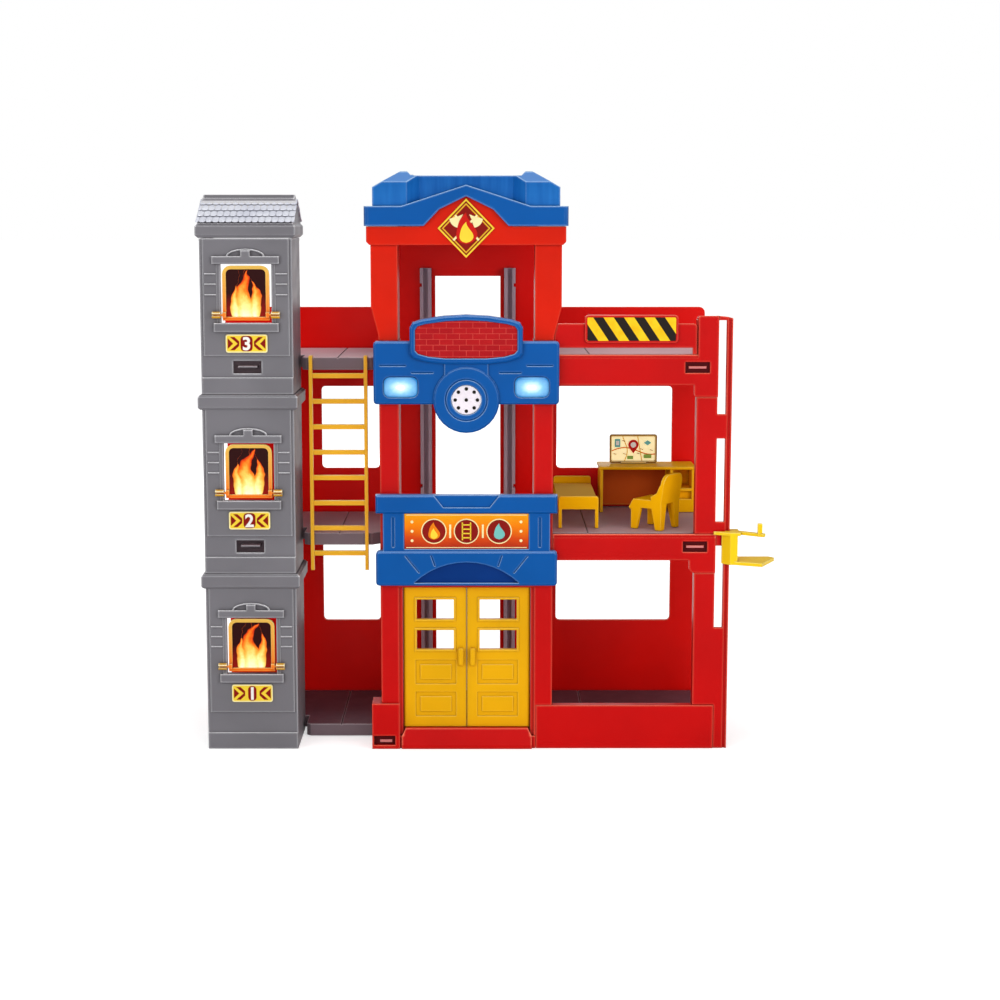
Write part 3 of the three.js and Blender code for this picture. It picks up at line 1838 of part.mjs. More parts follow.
const furnitureZ = rightTops[1] + fit;
const bed = {
  x: 84,
  frontGap: 28, // from the facade
  backGap: 4.7, // from the back wall
  half: 15,
  top: 19.3,
  plate: 2.6,
  footTop: 24.2,
  headTop: 25.2,
  leg: 5,
  rim: 2,
};

function bedForm() {
  const length = floorSeat - bed.backGap - bed.frontGap;
  const deck = block([-bed.half, bed.half], [0, length], [bed.top - bed.plate, bed.top]);
  // The end boards have rounded upper corners.
  const board = (y0, y1, top) =>
    prism(
      "front",
      [
        [-bed.half, bed.top - bed.leg],
        [bed.half, bed.top - bed.leg],
        ...arc([bed.half - bed.rim, top - bed.rim], bed.rim, 0, 1),
        ...arc([bed.rim - bed.half, top - bed.rim], bed.rim, 1, 2),
      ],
      [y0, y1],
    );
  const sideXs = (side) => sideSpan(side, bed.half - bed.leg / 2, bed.half);
  const sides = onBothSides((side) => block(sideXs(side), [0, length], [bed.top - bed.leg, bed.top]));
  const legTop = bed.top - bed.plate;
  const legs = [[0, bed.leg], [length - bed.leg, length]].map((ys) =>
    onBothSides((side) => block(sideXs(side), ys, [0, legTop])),
  );
  const footBoard = board(0, bed.plate, bed.footTop);
  const headBoard = board(length - bed.plate, length, bed.headTop);
  return join(deck, footBoard, headBoard, sides, ...legs);
}
addPiece("bed", bedForm(), yellow, placeGroup(bed.x, bed.frontGap, furnitureZ));

const desk = {
  left: 104,
  width: 76.6,
  backGap: 1.1, // from the back wall
  depth: 35.6,
  top: 36.4,
  plate: 2.4,
  panel: 2.2,
  cabinet: 18,
  shelves: [8.2, 16.8],
  drawerInset: 5,
  backPanelInset: 8,
  bevel: 1,
};

function deskForm() {
  const { width, depth, panel, bevel } = desk;
  const under = desk.top - desk.plate;
  const top = prism("plan", rectangle([0, width], [0, depth]), [under, desk.top], bevel / 2);
  const upright = (x) => block([x, x + panel], [bevel, depth - bevel], [0, under + bevel]);
  const panelFace = depth - desk.backPanelInset;
  const modesty = block(
    [bevel, width - bevel],
    [panelFace, panelFace + panel],
    [panel, under + bevel],
  );
  const cabinetLeft = width - desk.cabinet - panel;
  const cabinetXs = [cabinetLeft, width - bevel];
  // Two closed drawers, the upper one set back, are hollow from below; over them is an open shelf.
  const drawers = join(
    block(cabinetXs, [bevel, panelFace + bevel], [0, desk.shelves[0] + panel]),
    block(cabinetXs, [desk.drawerInset, panelFace + bevel], [0, desk.shelves[1] + panel]),
    block(cabinetXs, [bevel, panelFace + bevel], [desk.shelves[1], desk.shelves[1] + panel]),
  );
  const drawerRoom = block(
    [cabinetLeft + panel, width - bevel - panel],
    [desk.drawerInset + panel, panelFace],
    [-over, desk.shelves[1]],
  );
  const uprights = [bevel, cabinetLeft, width - panel - bevel].map(upright);
  return join(top, modesty, ...uprights, cut(drawers, drawerRoom));
}
const deskPlace = placeGroup(desk.left, floorSeat - desk.backGap - desk.depth, furnitureZ);
addPiece("desk", deskForm(), yellow, deskPlace);

// The map screen stands on the desk on a low foot.
const screen = {
  left: 9.5,
  right: 47.5,
  height: 23,
  y: 22,
  thickness: 2,
  foot: 9,
  footHeight: 1.6,
  rim: 1.6,
};
function screenForm() {
  const base = desk.top + fit;
  const frameForm = prism(
    "front",
    roundedRectangle([screen.left, screen.right], [base, base + screen.height], screen.rim, 2),
    [screen.y, screen.y + screen.thickness],
  );
  const recess = block(
    [screen.left + screen.rim, screen.right - screen.rim],
    [screen.y - over, screen.y + screen.rim / 2],
    [base + screen.rim, base + screen.height - screen.rim],
  );
  const foot = block(
    [screen.left + screen.foot, screen.right - screen.foot],
    around(screen.y + screen.thickness / 2, screen.foot / 2),
    [base, base + screen.footHeight],
  );
  return join(cut(frameForm, recess), foot);
}
addPiece("desk_screen", screenForm(), cream, deskPlace);

// The chair is turned towards the desk: a seat rolled down at its front, a broad leaning back with
// rounded upper corners, low side wings and four tapered legs. It is drawn facing left.
const chair = {
  x: 141,
  y: 33,
  turn: -35, // degrees about the upright axis
  half: 13.5,
  seatTop: 22.5,
  seatFront: -14,
  seatBack: 11,
  seat: 3,
  roll: 6.5,
  rollDepth: 4,
  backTop: 42,
  backLean: 3.5,
  backPlate: 3,
  backCorner: 7,
  wing: 6,
  wingTop: 28,
  legTop: 8.5,
  legFoot: 5,
  legThickness: 2.6,
};

function chairForm() {
  const { half, seatTop, seatFront, seatBack, seat, legThickness } = chair;
  const rear = seatBack + chair.backPlate;
  const seatForm = prism(
    "front",
    [
      [seatFront, seatTop - chair.roll],
      [seatFront + seat / 2, seatTop - chair.roll - seat / 2],
      [seatFront + chair.rollDepth + seat / 2, seatTop - seat],
      [rear, seatTop - seat],
      [rear, seatTop],
      [seatFront + chair.rollDepth, seatTop],
    ],
    [-half, half],
  );
  const corner = half - chair.backCorner;
  const cornerZ = chair.backTop - chair.backCorner;
  const backOutline = [
    [-half, seatTop - seat],
    [half, seatTop - seat],
    ...arc([corner, cornerZ], chair.backCorner, 0, 1),
    ...arc([-corner, cornerZ], chair.backCorner, 1, 2),
  ];
  const leaning = [
    [seatBack, seatTop - seat],
    [rear, seatTop - seat],
    [rear + chair.backLean, chair.backTop],
    [seatBack + chair.backLean, chair.backTop],
  ];
  const back = common(
    prism("side", backOutline, [seatBack - over, rear + chair.backLean + over]),
    prism("front", leaning, [-half - over, half + over]),
  );
  // Two legs with a rail between them, as an outline from one end to the other.
  const legPair = (from, to, railHeight) => [
    [from, 0],
    [from + chair.legFoot, 0],
    [from + chair.legTop, seatTop - railHeight],
    [to - chair.legTop, seatTop - railHeight],
    [to - chair.legFoot, 0],
    [to, 0],
    [to, seatTop],
    [from, seatTop],
  ];
  const frontLeg = seatFront + chair.rollDepth / 2;
  const sideLegs = legPair(frontLeg, rear, chair.roll);
  const sideTops = [[rear, seatTop], [seatFront + chair.rollDepth, seatTop], [frontLeg, seatTop - seat]];
  const sideOutline = [...sideLegs.slice(0, -2), ...sideTops];
  const wingOutline = [
    [seatBack - chair.wing, seatTop - lap],
    [rear, seatTop - lap],
    [rear + chair.backLean / 2, chair.wingTop + chair.wing],
    [seatBack + chair.backLean / 2, chair.wingTop + chair.wing],
    [seatBack - lap, chair.wingTop],
    [seatBack - chair.wing, chair.wingTop - seat],
  ];
  const cheeks = onBothSides((side) => {
    const ys = sideSpan(side, half - legThickness, half);
    return join(prism("front", sideOutline, ys), prism("front", wingOutline, ys));
  });
  const rearLegs = prism("side", legPair(-half, half, seat), [rear - legThickness, rear]);
  return join(seatForm, back, cheeks, rearLegs);
}
const chairPlace = placeGroup(chair.x, chair.y, furnitureZ);
chairPlace.rotation.z = THREE.MathUtils.degToRad(chair.turn);
addPiece("chair", chairForm(), yellow, chairPlace);

export default root;
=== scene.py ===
import json
import math

import bpy
import numpy as np
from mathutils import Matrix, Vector


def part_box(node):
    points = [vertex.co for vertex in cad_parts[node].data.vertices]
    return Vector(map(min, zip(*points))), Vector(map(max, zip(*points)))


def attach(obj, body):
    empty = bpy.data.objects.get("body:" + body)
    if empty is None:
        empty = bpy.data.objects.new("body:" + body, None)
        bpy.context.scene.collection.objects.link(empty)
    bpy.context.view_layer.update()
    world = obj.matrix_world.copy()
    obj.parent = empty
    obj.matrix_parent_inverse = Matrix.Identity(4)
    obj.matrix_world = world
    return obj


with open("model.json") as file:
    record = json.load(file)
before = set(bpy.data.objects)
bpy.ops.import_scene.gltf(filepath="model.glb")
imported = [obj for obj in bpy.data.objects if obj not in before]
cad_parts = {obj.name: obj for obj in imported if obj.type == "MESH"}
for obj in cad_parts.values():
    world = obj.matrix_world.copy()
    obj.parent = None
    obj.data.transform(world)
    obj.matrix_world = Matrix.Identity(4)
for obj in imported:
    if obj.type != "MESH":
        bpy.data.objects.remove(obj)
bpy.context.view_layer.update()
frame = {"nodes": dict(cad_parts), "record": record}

# The finishes, prints and small trim of a toy fire station. Lengths are in metres, X to the right, Y from
# the facade to the back wall and Z up. Colours are 8-bit sRGB values.

MM = 0.001
PRINT = 0.12 * MM  # thickness of a printed film
CLEAR = 0.02 * MM  # gap under a film
LAYER = PRINT + CLEAR  # from the front of one film to the front of the next
FACADE = -74.5 * MM  # Y of the beams' fronts
SIDE_NAMES = ("left", "right")
INK_GLEAM = 0.06  # specular level of printed films
WORN = 0.88  # share of an ink's colour that is left where it is dull


def linear(red, green, blue):
    """Linear colour of an sRGB triple: c/12.92 near black, else ((c + 0.055) / 1.055) to the power 2.4."""
    c = np.array([red, green, blue]) / 255
    bright = ((c + 0.055) / 1.055) ** 2.4
    return (*np.where(c <= 0.04045, c / 12.92, bright).tolist(), 1.0)


# Colours named _HIGHLIGHT are painted highlights for the edges of a moulded finish.
RED = linear(196, 8, 8)
ORANGE_RED = linear(213, 27, 0)
RED_HIGHLIGHT = linear(255, 128, 100)
BLUE = linear(2, 82, 158)
BLUE_HIGHLIGHT = linear(176, 212, 246)
# painted light on the upper faces of the blue plastic
BLUE_LIT_TOP = linear(92, 140, 206)
BLUE_SHADE = linear(2, 52, 124)
CROWN_BLUE = linear(36, 118, 194)
GREY = linear(117, 115, 120)
GREY_HIGHLIGHT = linear(250, 249, 252)
DARK_GREY = linear(186, 162, 174)
DARK_GREY_HIGHLIGHT = linear(214, 200, 210)
FLOOR_GREY = linear(122, 106, 112)
# Floor tops: painted light on the upper floors, less on the middle floors, and painted shade on the ground
# floors, darker than the plastic.
FLOOR_LIT_TOP = linear(212, 178, 184)
MIDDLE_FLOOR_DIMMER_LIT_TOP = linear(186, 156, 164)
FLOOR_HIGHLIGHT = linear(214, 200, 204)
GROUND_FLOOR_SHADED_TOP = linear(104, 74, 84)
DOOR_YELLOW = linear(232, 172, 4)
YELLOW = linear(248, 172, 6)
YELLOW_HIGHLIGHT = linear(255, 216, 96)
SEAT_YELLOW = linear(248, 182, 10)
CREAM = linear(222, 184, 92)
CLIP_GOLD = linear(214, 158, 44)
CREAM_HIGHLIGHT = linear(255, 246, 206)
TILE = linear(236, 238, 246)
PRINT_YELLOW = linear(252, 216, 62)
PRINT_CREAM = linear(255, 240, 176)
PRINT_MAROON = linear(140, 24, 18)
PRINT_BLACK = linear(36, 30, 26)
PRINT_WHITE = linear(250, 246, 240)
PRINT_ORANGE = linear(240, 130, 20)


# Finishes


class Finish:
    """A material while its nodes are wired up. Its patterns read Object coordinates."""

    def __init__(self, name):
        self.material = bpy.data.materials.new(name)
        self.material.use_nodes = True
        self.tree = self.material.node_tree
        self.tree.nodes.clear()
        self.place = self.node("ShaderNodeTexCoord").outputs["Object"]

    def node(self, kind, inputs=None, **settings):
        """A node with its settings; each input takes another node's socket or a plain value."""
        made = self.tree.nodes.new(kind)
        for key, value in settings.items():
            setattr(made, key, value)
        for key, value in (inputs or {}).items():
            if isinstance(value, bpy.types.NodeSocket):
                self.tree.links.new(value, made.inputs[key])
            else:
                made.inputs[key].default_value = value
        return made

    def maths(self, operation, *values, clamp=False):
        inputs = dict(enumerate(values))
        return self.node("ShaderNodeMath", inputs, operation=operation, use_clamp=clamp).outputs[0]

    def root_of_squares(self, across, up):
        squares = [self.maths("MULTIPLY", size, size) for size in (across, up)]
        return self.maths("SQRT", self.maths("ADD", *squares))

    def noise(self, scale, detail=2, place=None):
        inputs = {"Vector": place or self.place, "Scale": scale, "Detail": detail}
        return self.node("ShaderNodeTexNoise", inputs).outputs[0]

    def mix(self, factor, first, second, blend="MIX"):
        inputs = {0: factor, 6: first, 7: second}
        return self.node("ShaderNodeMix", inputs, data_type="RGBA", blend_type=blend).outputs[2]

    def spread(self, value, low, high, to_low=0.0, to_high=1.0):
        """value from low..high to to_low..to_high, held at both ends."""
        inputs = {0: value, 1: low, 2: high, 3: to_low, 4: to_high}
        return self.node("ShaderNodeMapRange", inputs).outputs[0]

    def ramp(self, value, stops):
        """A colour ramp: the first two stops are its ends, and the others lie between them."""
        made = self.node("ShaderNodeValToRGB", {0: value})
        elements = made.color_ramp.elements
        for index, (where, colour) in enumerate(stops):
            stop = elements[index] if index < 2 else elements.new(where)
            stop.position = where
            stop.color = colour
        return made.outputs[0]

    def bump(self, height, strength, normal=None, distance=0.1 * MM, invert=False):
        inputs = {"Strength": strength, "Distance": distance, "Height": height}
        if normal is not None:
            inputs["Normal"] = normal
        return self.node("ShaderNodeBump", inputs, invert=invert).outputs[0]

    def openness(self, reach, samples=6, inside=False):
        """1 where no other face is within reach, and less in corners; inside looks into the solid."""
        inputs = {"Distance": reach}
        made = self.node("ShaderNodeAmbientOcclusion", inputs, inside=inside, samples=samples)
        return made.outputs["AO"]

    def soft_edges(self, radius):
        return self.node("ShaderNodeBevel", {"Radius": radius}, samples=6).outputs[0]

    def face_place(self, centre, angle=0.0):
        """Coordinates on an upright face: X and Z of the object about a centre, as the first two."""
        axes = self.node("ShaderNodeMapping", {"Vector": self.place}, vector_type="TEXTURE")
        axes.inputs["Location"].default_value = centre
        axes.inputs["Rotation"].default_value = (math.pi / 2, 0, 0)
        turned = self.node("ShaderNodeMapping", {"Vector": axes.outputs[0], "Rotation": (0, 0, angle)})
        return turned.outputs[0]

    def split(self, place):
        return self.node("ShaderNodeSeparateXYZ", {0: place}).outputs

    def within(self, low, high):
        """1 inside a box of the object's coordinates, else 0. An end that is None is open."""
        inside = 1.0
        for axis, least, most in zip(self.split(self.place), low, high):
            if least is not None:
                inside = self.maths("MULTIPLY", inside, self.maths("GREATER_THAN", axis, least))
            if most is not None:
                inside = self.maths("MULTIPLY", inside, self.maths("LESS_THAN", axis, most))
        return inside

    def finished(self, colour, roughness, normal=None, **settings):
        inputs = {"Base Color": colour, "Roughness": roughness}
        if normal is not None:
            inputs["Normal"] = normal
        for key, value in settings.items():
            inputs[key.replace("_", " ").title().replace("Ior", "IOR")] = value
        shader = self.node("ShaderNodeBsdfPrincipled", inputs)
        self.node("ShaderNodeOutputMaterial", {"Surface": shader.outputs[0]})
        return self.material


def moulded(
    name,
    colour,
    highlight_colour,
    roughness=0.34,
    grain=0.05,
    grain_size=2200,
    tint=None,
    corner_shade_strength=0.8,
    edge=1.2,
    full_highlight=0.42,
    gleam=0.08,
):
    """Injection-moulded plastic: a slow drift of the colour, rounded edges with a painted highlight where
    they look up, painted shade in inner corners, a fine grain and flow marks that change the gloss. A tint
    recolours some of its faces. corner_shade_strength is the strength of the painted corner shade, edge
    the width of the painted edge highlight in millimetres and full_highlight the bend at which it is
    palest."""
    drift_size, flow_size, corner_reach, edge_radius = 17, 60, 3.2 * MM, 0.8 * MM
    darker_share, lighter_share = 0.94, 1.06
    corner_shade = (0.45, 0.42, 0.42, 1)
    f = Finish(name)
    drift = f.noise(drift_size, 3)
    fine = f.noise(grain_size, 1)
    flow = f.noise(flow_size, 4)
    inward = f.openness(edge * MM, inside=True)
    corner = f.openness(corner_reach)
    soft = f.soft_edges(edge_radius)
    lean = f.split(soft)[2]
    # painted highlight: rounded edges that look up take the highlight colour, where light from above would
    # catch them
    upwards = f.maths("MULTIPLY", f.spread(lean, -0.12, 0.3), f.spread(lean, 0.85, 0.98, 1.0, 0.2))
    rim = f.spread(f.maths("SUBTRACT", 1.0, inward), 0.24 * full_highlight, full_highlight)
    darker = tuple(c * darker_share for c in colour[:3]) + (1,)
    lighter = tuple(min(1, c * lighter_share) for c in colour[:3]) + (1,)
    tone = f.mix(f.spread(drift, 0.35, 0.65), darker, lighter)
    if tint:
        tone = tint(f, tone)
    tone = f.mix(f.maths("MULTIPLY", rim, upwards), tone, highlight_colour)
    # painted shade: inner corners are darkened towards corner_shade
    corner_shaded = f.mix(1.0, tone, corner_shade, blend="MULTIPLY")
    tone = f.mix(f.spread(corner, 0.25, 0.85, corner_shade_strength, 0.0), tone, corner_shaded)
    gloss = f.spread(flow, 0.3, 0.7, roughness - 0.05, roughness + 0.07)
    return f.finished(tone, gloss, f.bump(fine, grain, soft), specular_ior_level=gleam)


def upward(colour):
    """A tint for the faces that look up: painted light where its colour is paler than the plastic, painted
    shade where it is darker.
    """
    def tint(f, tone):
        normal = f.node("ShaderNodeTexCoord").outputs["Normal"]
        return f.mix(f.spread(f.split(normal)[2], 0.5, 0.8), tone, colour)
    return tint


def crown_tint(f, tone):
    """The roof cap: painted light on the upper faces, and over the eave a paler blue that deepens towards
    the top in streaks.
    """
    low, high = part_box("roof_cap")
    fade_start, eave_top, front_depth = 12 * MM, 14.4 * MM, 8.4 * MM
    streaks = f.node("ShaderNodeMapping", {"Vector": f.place, "Scale": (1, 1, 0.08)})
    streak = f.maths("MULTIPLY_ADD", f.noise(260, 2, streaks.outputs[0]), 0.9, -0.45)
    fade = f.spread(f.split(f.place)[2], low.z + fade_start, high.z, 1.0, 0.15)
    paler = f.maths("ADD", fade, streak, clamp=True)
    above = f.within((None, low.y + front_depth, low.z + eave_top), (None, None, None))
    tone = f.mix(f.maths("MULTIPLY", above, paler), tone, CROWN_BLUE)
    return upward(BLUE_LIT_TOP)(f, tone)


def inside_box(colour, low, high):
    """A tint for what lies in a box of the object's coordinates."""
    def tint(f, tone):
        return f.mix(f.within(low, high), tone, colour)
    return tint


def slab_tint(top):
    """The upper face takes the given top colour, painted light on the upper floors and painted shade on
    the ground floors; painted shade in black where the slab shows in the tower's slots, and a dark grey
    painted shade on its tongue.
    """
    left, right = -173 * MM, -147 * MM  # the sides of the slots
    slot_back, tongue_back = -70.9 * MM, -72.6 * MM  # how far in each colour reaches

    def tint(f, tone):
        tone = upward(top)(f, tone)
        # painted shade: black in the tower's slots, dark grey on the tongue in them
        for back, colour in ((slot_back, linear(30, 28, 31)), (tongue_back, linear(84, 81, 86))):
            tone = inside_box(colour, (left, None, None), (right, back, None))(f, tone)
        return tone

    return tint


def slab(name, top):
    """The ribbed floors' duller, grained plastic, with the painted light and shade of slab_tint."""
    return moulded(
        name, FLOOR_GREY, FLOOR_HIGHLIGHT, roughness=0.45, grain=0.14, grain_size=1200, tint=slab_tint(top)
    )


def desk_tint(f, tone):
    """Painted light on the desk's top, and painted shade in a deeper brown on the panel under it."""
    low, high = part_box("desk")
    left, front, right, top, below = (inset * MM for inset in (3, 6, 22, 4, 1))
    shaded_low = (low.x + left, low.y + front, low.z - below)
    shaded_high = (high.x - right, None, high.z - top)
    tone = upward(linear(255, 198, 32))(f, tone)
    return inside_box(linear(190, 80, 24), shaded_low, shaded_high)(f, tone)


def heated(low, high):
    """A tint from pale gold at the top of a height to orange at its foot: painted light, paler where light
    from above falls.
    """
    def tint(f, tone):
        return f.mix(f.spread(f.split(f.place)[2], low, high), linear(244, 112, 14), linear(236, 188, 84))
    return tint


def printed(name, colour, glow=0.0):
    """A printed film: a flat ink with faint screen grain and a satin gloss. A lit one glows a little:
    painted light, with no lamp in it.
    """
    f = Finish(name)
    grain = f.noise(3000, 1)
    cloud = f.noise(45, 3)
    dull = tuple(c * WORN for c in colour[:3]) + (1,)
    tone = f.mix(f.spread(cloud, 0.3, 0.7), colour, dull)
    bump = f.bump(grain, 0.04, distance=0.05 * MM)
    gloss = f.spread(cloud, 0.3, 0.7, 0.36, 0.48)
    lit = {"emission_color": tone, "emission_strength": glow}
    return f.finished(tone, gloss, bump, specular_ior_level=INK_GLEAM, **lit)


TONGUES = (  # middle, sway, phase, half width and height of each tongue, in shares of the card
    (-0.06, 0.3, 0.4, 0.62, 0.98),
    (0.46, 0.24, 3.4, 0.42, 0.76),
    (-0.52, 0.2, 1.0, 0.38, 0.66),
    (0.0, 0.0, 0.0, 0.98, 0.46),
)


def flame_print(name, centre, half, height, seed):
    """A flame on a dark ground. Across x and up z of the card, a tongue of height h follows the line
    c + a * z * sin(7 * z + phase) and is w * (1 - z / h)**0.75 wide to each side, less at its foot. Its
    heat is 1 - |x - line| / width; the hottest tongue wins, and the flame pales towards its foot."""
    f = Finish(name)
    x_raw, z_raw, _ = f.split(f.face_place(centre))
    x = f.maths("DIVIDE", x_raw, half)
    z = f.maths("DIVIDE", z_raw, height)
    drift = f.node("ShaderNodeMapping", {"Vector": f.place, "Location": (seed, 0, -seed)}).outputs[0]
    sway = f.maths("MULTIPLY", f.maths("SUBTRACT", f.noise(110, 1, drift), 0.5), z)
    x = f.maths("MULTIPLY_ADD", sway, 0.9, x)
    foot = f.maths("POWER", f.spread(z, -0.06, 0.2, 0.01, 1.0), 0.5)
    heat = None
    for middle, swing, phase, width, tall in TONGUES:
        wave = f.maths("SINE", f.maths("MULTIPLY_ADD", z, 7.0, phase + seed))
        line = f.maths("MULTIPLY_ADD", f.maths("MULTIPLY", wave, z), swing, middle)
        above = f.maths("SUBTRACT", 1.0, f.maths("DIVIDE", z, tall))
        slim = f.maths("POWER", f.maths("MAXIMUM", above, 0.001), 0.75)
        reach = f.maths("MULTIPLY", f.maths("MULTIPLY", slim, foot), width)
        away = f.maths("ABSOLUTE", f.maths("SUBTRACT", x, line))
        tongue = f.maths("SUBTRACT", 1.0, f.maths("DIVIDE", away, reach))
        heat = tongue if heat is None else f.maths("SMOOTH_MAX", heat, tongue, 0.1)
    streak = f.maths("MULTIPLY", f.maths("SUBTRACT", f.noise(430, 2, drift), 0.5), 0.22)
    pale = f.spread(z, 0.0, 0.78, 0.6, -0.1)
    level = f.maths("ADD", f.maths("MULTIPLY_ADD", f.spread(heat, 0.0, 0.8), 0.34, pale), streak)
    ground = f.mix(f.spread(z, 0.0, 0.5), linear(150, 20, 10), linear(44, 8, 8))
    tone = f.ramp(
        level,
        [
            (0.0, linear(206, 52, 12)),
            (1.0, linear(255, 252, 222)),
            (0.18, linear(236, 92, 18)),
            (0.36, linear(246, 140, 40)),
            (0.56, linear(253, 198, 88)),
            (0.76, linear(255, 234, 150)),
        ],
    )
    tone = f.mix(f.spread(heat, -0.03, 0.05), ground, tone)
    # painted light: the flame glows where its heat is high, though the card holds no lamp
    glow = f.maths("MULTIPLY", f.spread(heat, 0.0, 0.2), 0.18)
    return f.finished(tone, 0.3, emission_color=tone, emission_strength=glow, specular_ior_level=INK_GLEAM)


def striped(name, centre, pitch, angle):
    """Hazard stripes: the place turned by an angle, its first coordinate folded into bands."""
    f = Finish(name)
    band_shift = 20.25  # keeps the folded coordinate above zero and places the first stripe
    along = f.split(f.face_place(centre, angle))[0]
    band = f.maths("FRACT", f.maths("ADD", f.maths("DIVIDE", along, pitch), band_shift))
    cloud = f.noise(120, 3)
    yellow = f.mix(f.spread(cloud, 0.3, 0.7), linear(255, 214, 40), linear(247, 186, 20))
    tone = f.mix(f.spread(f.maths("PINGPONG", band, 0.5), 0.245, 0.255), PRINT_BLACK, yellow)
    return f.finished(tone, f.spread(cloud, 0.3, 0.7, 0.32, 0.42), specular_ior_level=INK_GLEAM)


def brick_print(name, centre):
    """Red brickwork in courses with pale joints that fade in and out."""
    f = Finish(name)
    brick = f.node(
        "ShaderNodeTexBrick",
        {
            "Vector": f.face_place(centre),
            "Color1": linear(182, 24, 28),
            "Color2": linear(164, 18, 26),
            "Mortar": linear(222, 84, 74),
            "Scale": 1.0,
            "Mortar Size": 0.2 * MM,
            "Mortar Smooth": 0.4,
            "Brick Width": 9.6 * MM,
            "Row Height": 4.1 * MM,
        },
    )
    cloud = f.noise(90, 4)
    tone = f.mix(f.spread(cloud, 0.35, 0.65, 0.0, 0.5), brick.outputs["Color"], linear(172, 22, 28))
    bump = f.bump(brick.outputs["Fac"], 0.3, invert=True)
    return f.finished(tone, f.spread(cloud, 0.3, 0.7, 0.3, 0.4), bump, specular_ior_level=INK_GLEAM)


def sunset_print(name, bottom, top):
    """A panel that runs from amber at its top to brick red at its foot, with a wavering glow."""
    f = Finish(name)
    height = f.split(f.place)[2]
    waver = f.maths("MULTIPLY_ADD", f.noise(40, 3), 0.3, -0.15)
    level = f.maths("ADD", f.spread(height, bottom, top), waver, clamp=True)
    tone = f.ramp(
        level,
        [
            (0.0, linear(166, 40, 22)),
            (1.0, linear(247, 168, 20)),
            (0.3, linear(214, 72, 18)),
            (0.62, linear(243, 128, 10)),
        ],
    )
    gloss = f.spread(f.noise(200, 2), 0.3, 0.7, 0.3, 0.42)
    return f.finished(tone, gloss, specular_ior_level=INK_GLEAM)


def lamp_lens(name, centre, half, tall):
    """A pale blue lens, white where its lamp glows: the glow falls with the distance from the middle."""
    f = Finish(name)
    x, z, _ = f.split(f.face_place(centre))
    away = f.root_of_squares(f.maths("DIVIDE", x, half), f.maths("DIVIDE", z, tall))
    cloud = f.maths("MULTIPLY_ADD", f.noise(260, 3), 0.3, -0.15)
    level = f.maths("ADD", away, cloud)
    tone = f.ramp(
        f.spread(level, 0.1, 1.15),
        [
            (0.0, linear(250, 254, 255)),
            (1.0, linear(52, 142, 216)),
            (0.22, linear(196, 232, 252)),
            (0.55, linear(116, 194, 240)),
        ],
    )
    shine = f.spread(level, 0.0, 0.8, 0.4, 0.0)
    return f.finished(tone, 0.12, f.soft_edges(1.2 * MM), emission_color=tone, emission_strength=shine)


def weathered_tiles(name):
    """Pale roof tiles: painted shade greys each tile's edges where other tiles lie close, and a speckle
    runs over them.
    """
    f = Finish(name)
    speck = f.noise(700, 3)
    drift = f.noise(60, 2)
    corner = f.openness(2.2 * MM, samples=8)
    tone = f.mix(f.spread(drift, 0.3, 0.7), TILE, linear(218, 220, 232))
    tone = f.mix(f.spread(speck, 0.45, 0.75, 0.0, 0.35), tone, linear(180, 182, 196))
    # painted shade where the tiles overlap
    tone = f.mix(f.spread(corner, 0.3, 0.8, 0.8, 0.0), tone, linear(120, 122, 138))
    return f.finished(tone, 0.5, f.bump(speck, 0.2), specular_ior_level=0.2)


# The second colour of each moulded finish is the painted highlight on its edges.
finishes = {
    "red_plastic": moulded("red_plastic", RED, RED_HIGHLIGHT, edge=1.6),
    "blue_plastic": moulded("blue_plastic", BLUE, BLUE_HIGHLIGHT, tint=upward(BLUE_LIT_TOP)),
    "grey_plastic": moulded(
        "grey_plastic", GREY, GREY_HIGHLIGHT, roughness=0.42, grain=0.12, grain_size=1500, edge=1.6
    ),
    "dark_grey_plastic": moulded("dark_grey_plastic", DARK_GREY, DARK_GREY_HIGHLIGHT, corner_shade_strength=0.4),
    "floor_plastic": slab("floor_plastic", FLOOR_LIT_TOP),
    "door_plastic": moulded("door_plastic", DOOR_YELLOW, YELLOW_HIGHLIGHT, roughness=0.36),
    "yellow_plastic": moulded("yellow_plastic", YELLOW, YELLOW_HIGHLIGHT),
    "cream_plastic": moulded("cream_plastic", CREAM, CREAM_HIGHLIGHT),
    "orange_plastic": moulded(
        "orange_plastic", linear(250, 164, 30), linear(255, 232, 120), roughness=0.32
    ),
    "white_plastic": moulded("white_plastic", linear(238, 230, 238), linear(255, 255, 255), grain=0.1),
    "sticker": printed("sticker", PRINT_YELLOW),
}
tiles_finish = weathered_tiles("roof_tiles")
inks = {
    "maroon": printed("maroon_ink", PRINT_MAROON),
    "black": printed("black_ink", PRINT_BLACK),
    "white": printed("white_ink", PRINT_WHITE),
    "yellow": printed("yellow_ink", PRINT_YELLOW),
    "cream": printed("cream_ink", PRINT_CREAM),
    "orange": printed("orange_ink", PRINT_ORANGE),
    "red": printed("red_ink", linear(206, 30, 22)),
    "teal": printed("teal_ink", linear(120, 196, 190)),
    "green": printed("green_ink", linear(150, 190, 90)),
    "gold": printed("gold_ink", linear(244, 190, 50)),
    "brown": printed("brown_ink", linear(150, 102, 34)),
    # painted light: the screen's map print glows, though no lamp lies behind it
    "screen": printed("screen_ink", linear(255, 240, 186), glow=0.42),
    "shade": printed("shade_ink", linear(78, 6, 12)),
    "pale": printed("pale_ink", linear(214, 132, 130)),
    # painted shade: the dark line in the gap between the door leaves
    "lip": printed("lip_ink", linear(112, 66, 6)),
    # painted shade for the floor of the balcony's arch
    "navy": printed("navy_ink", BLUE_SHADE),
}


def refinish(name, material):
    node = frame["nodes"][name]
    node.data.materials.clear()
    node.data.materials.append(material)


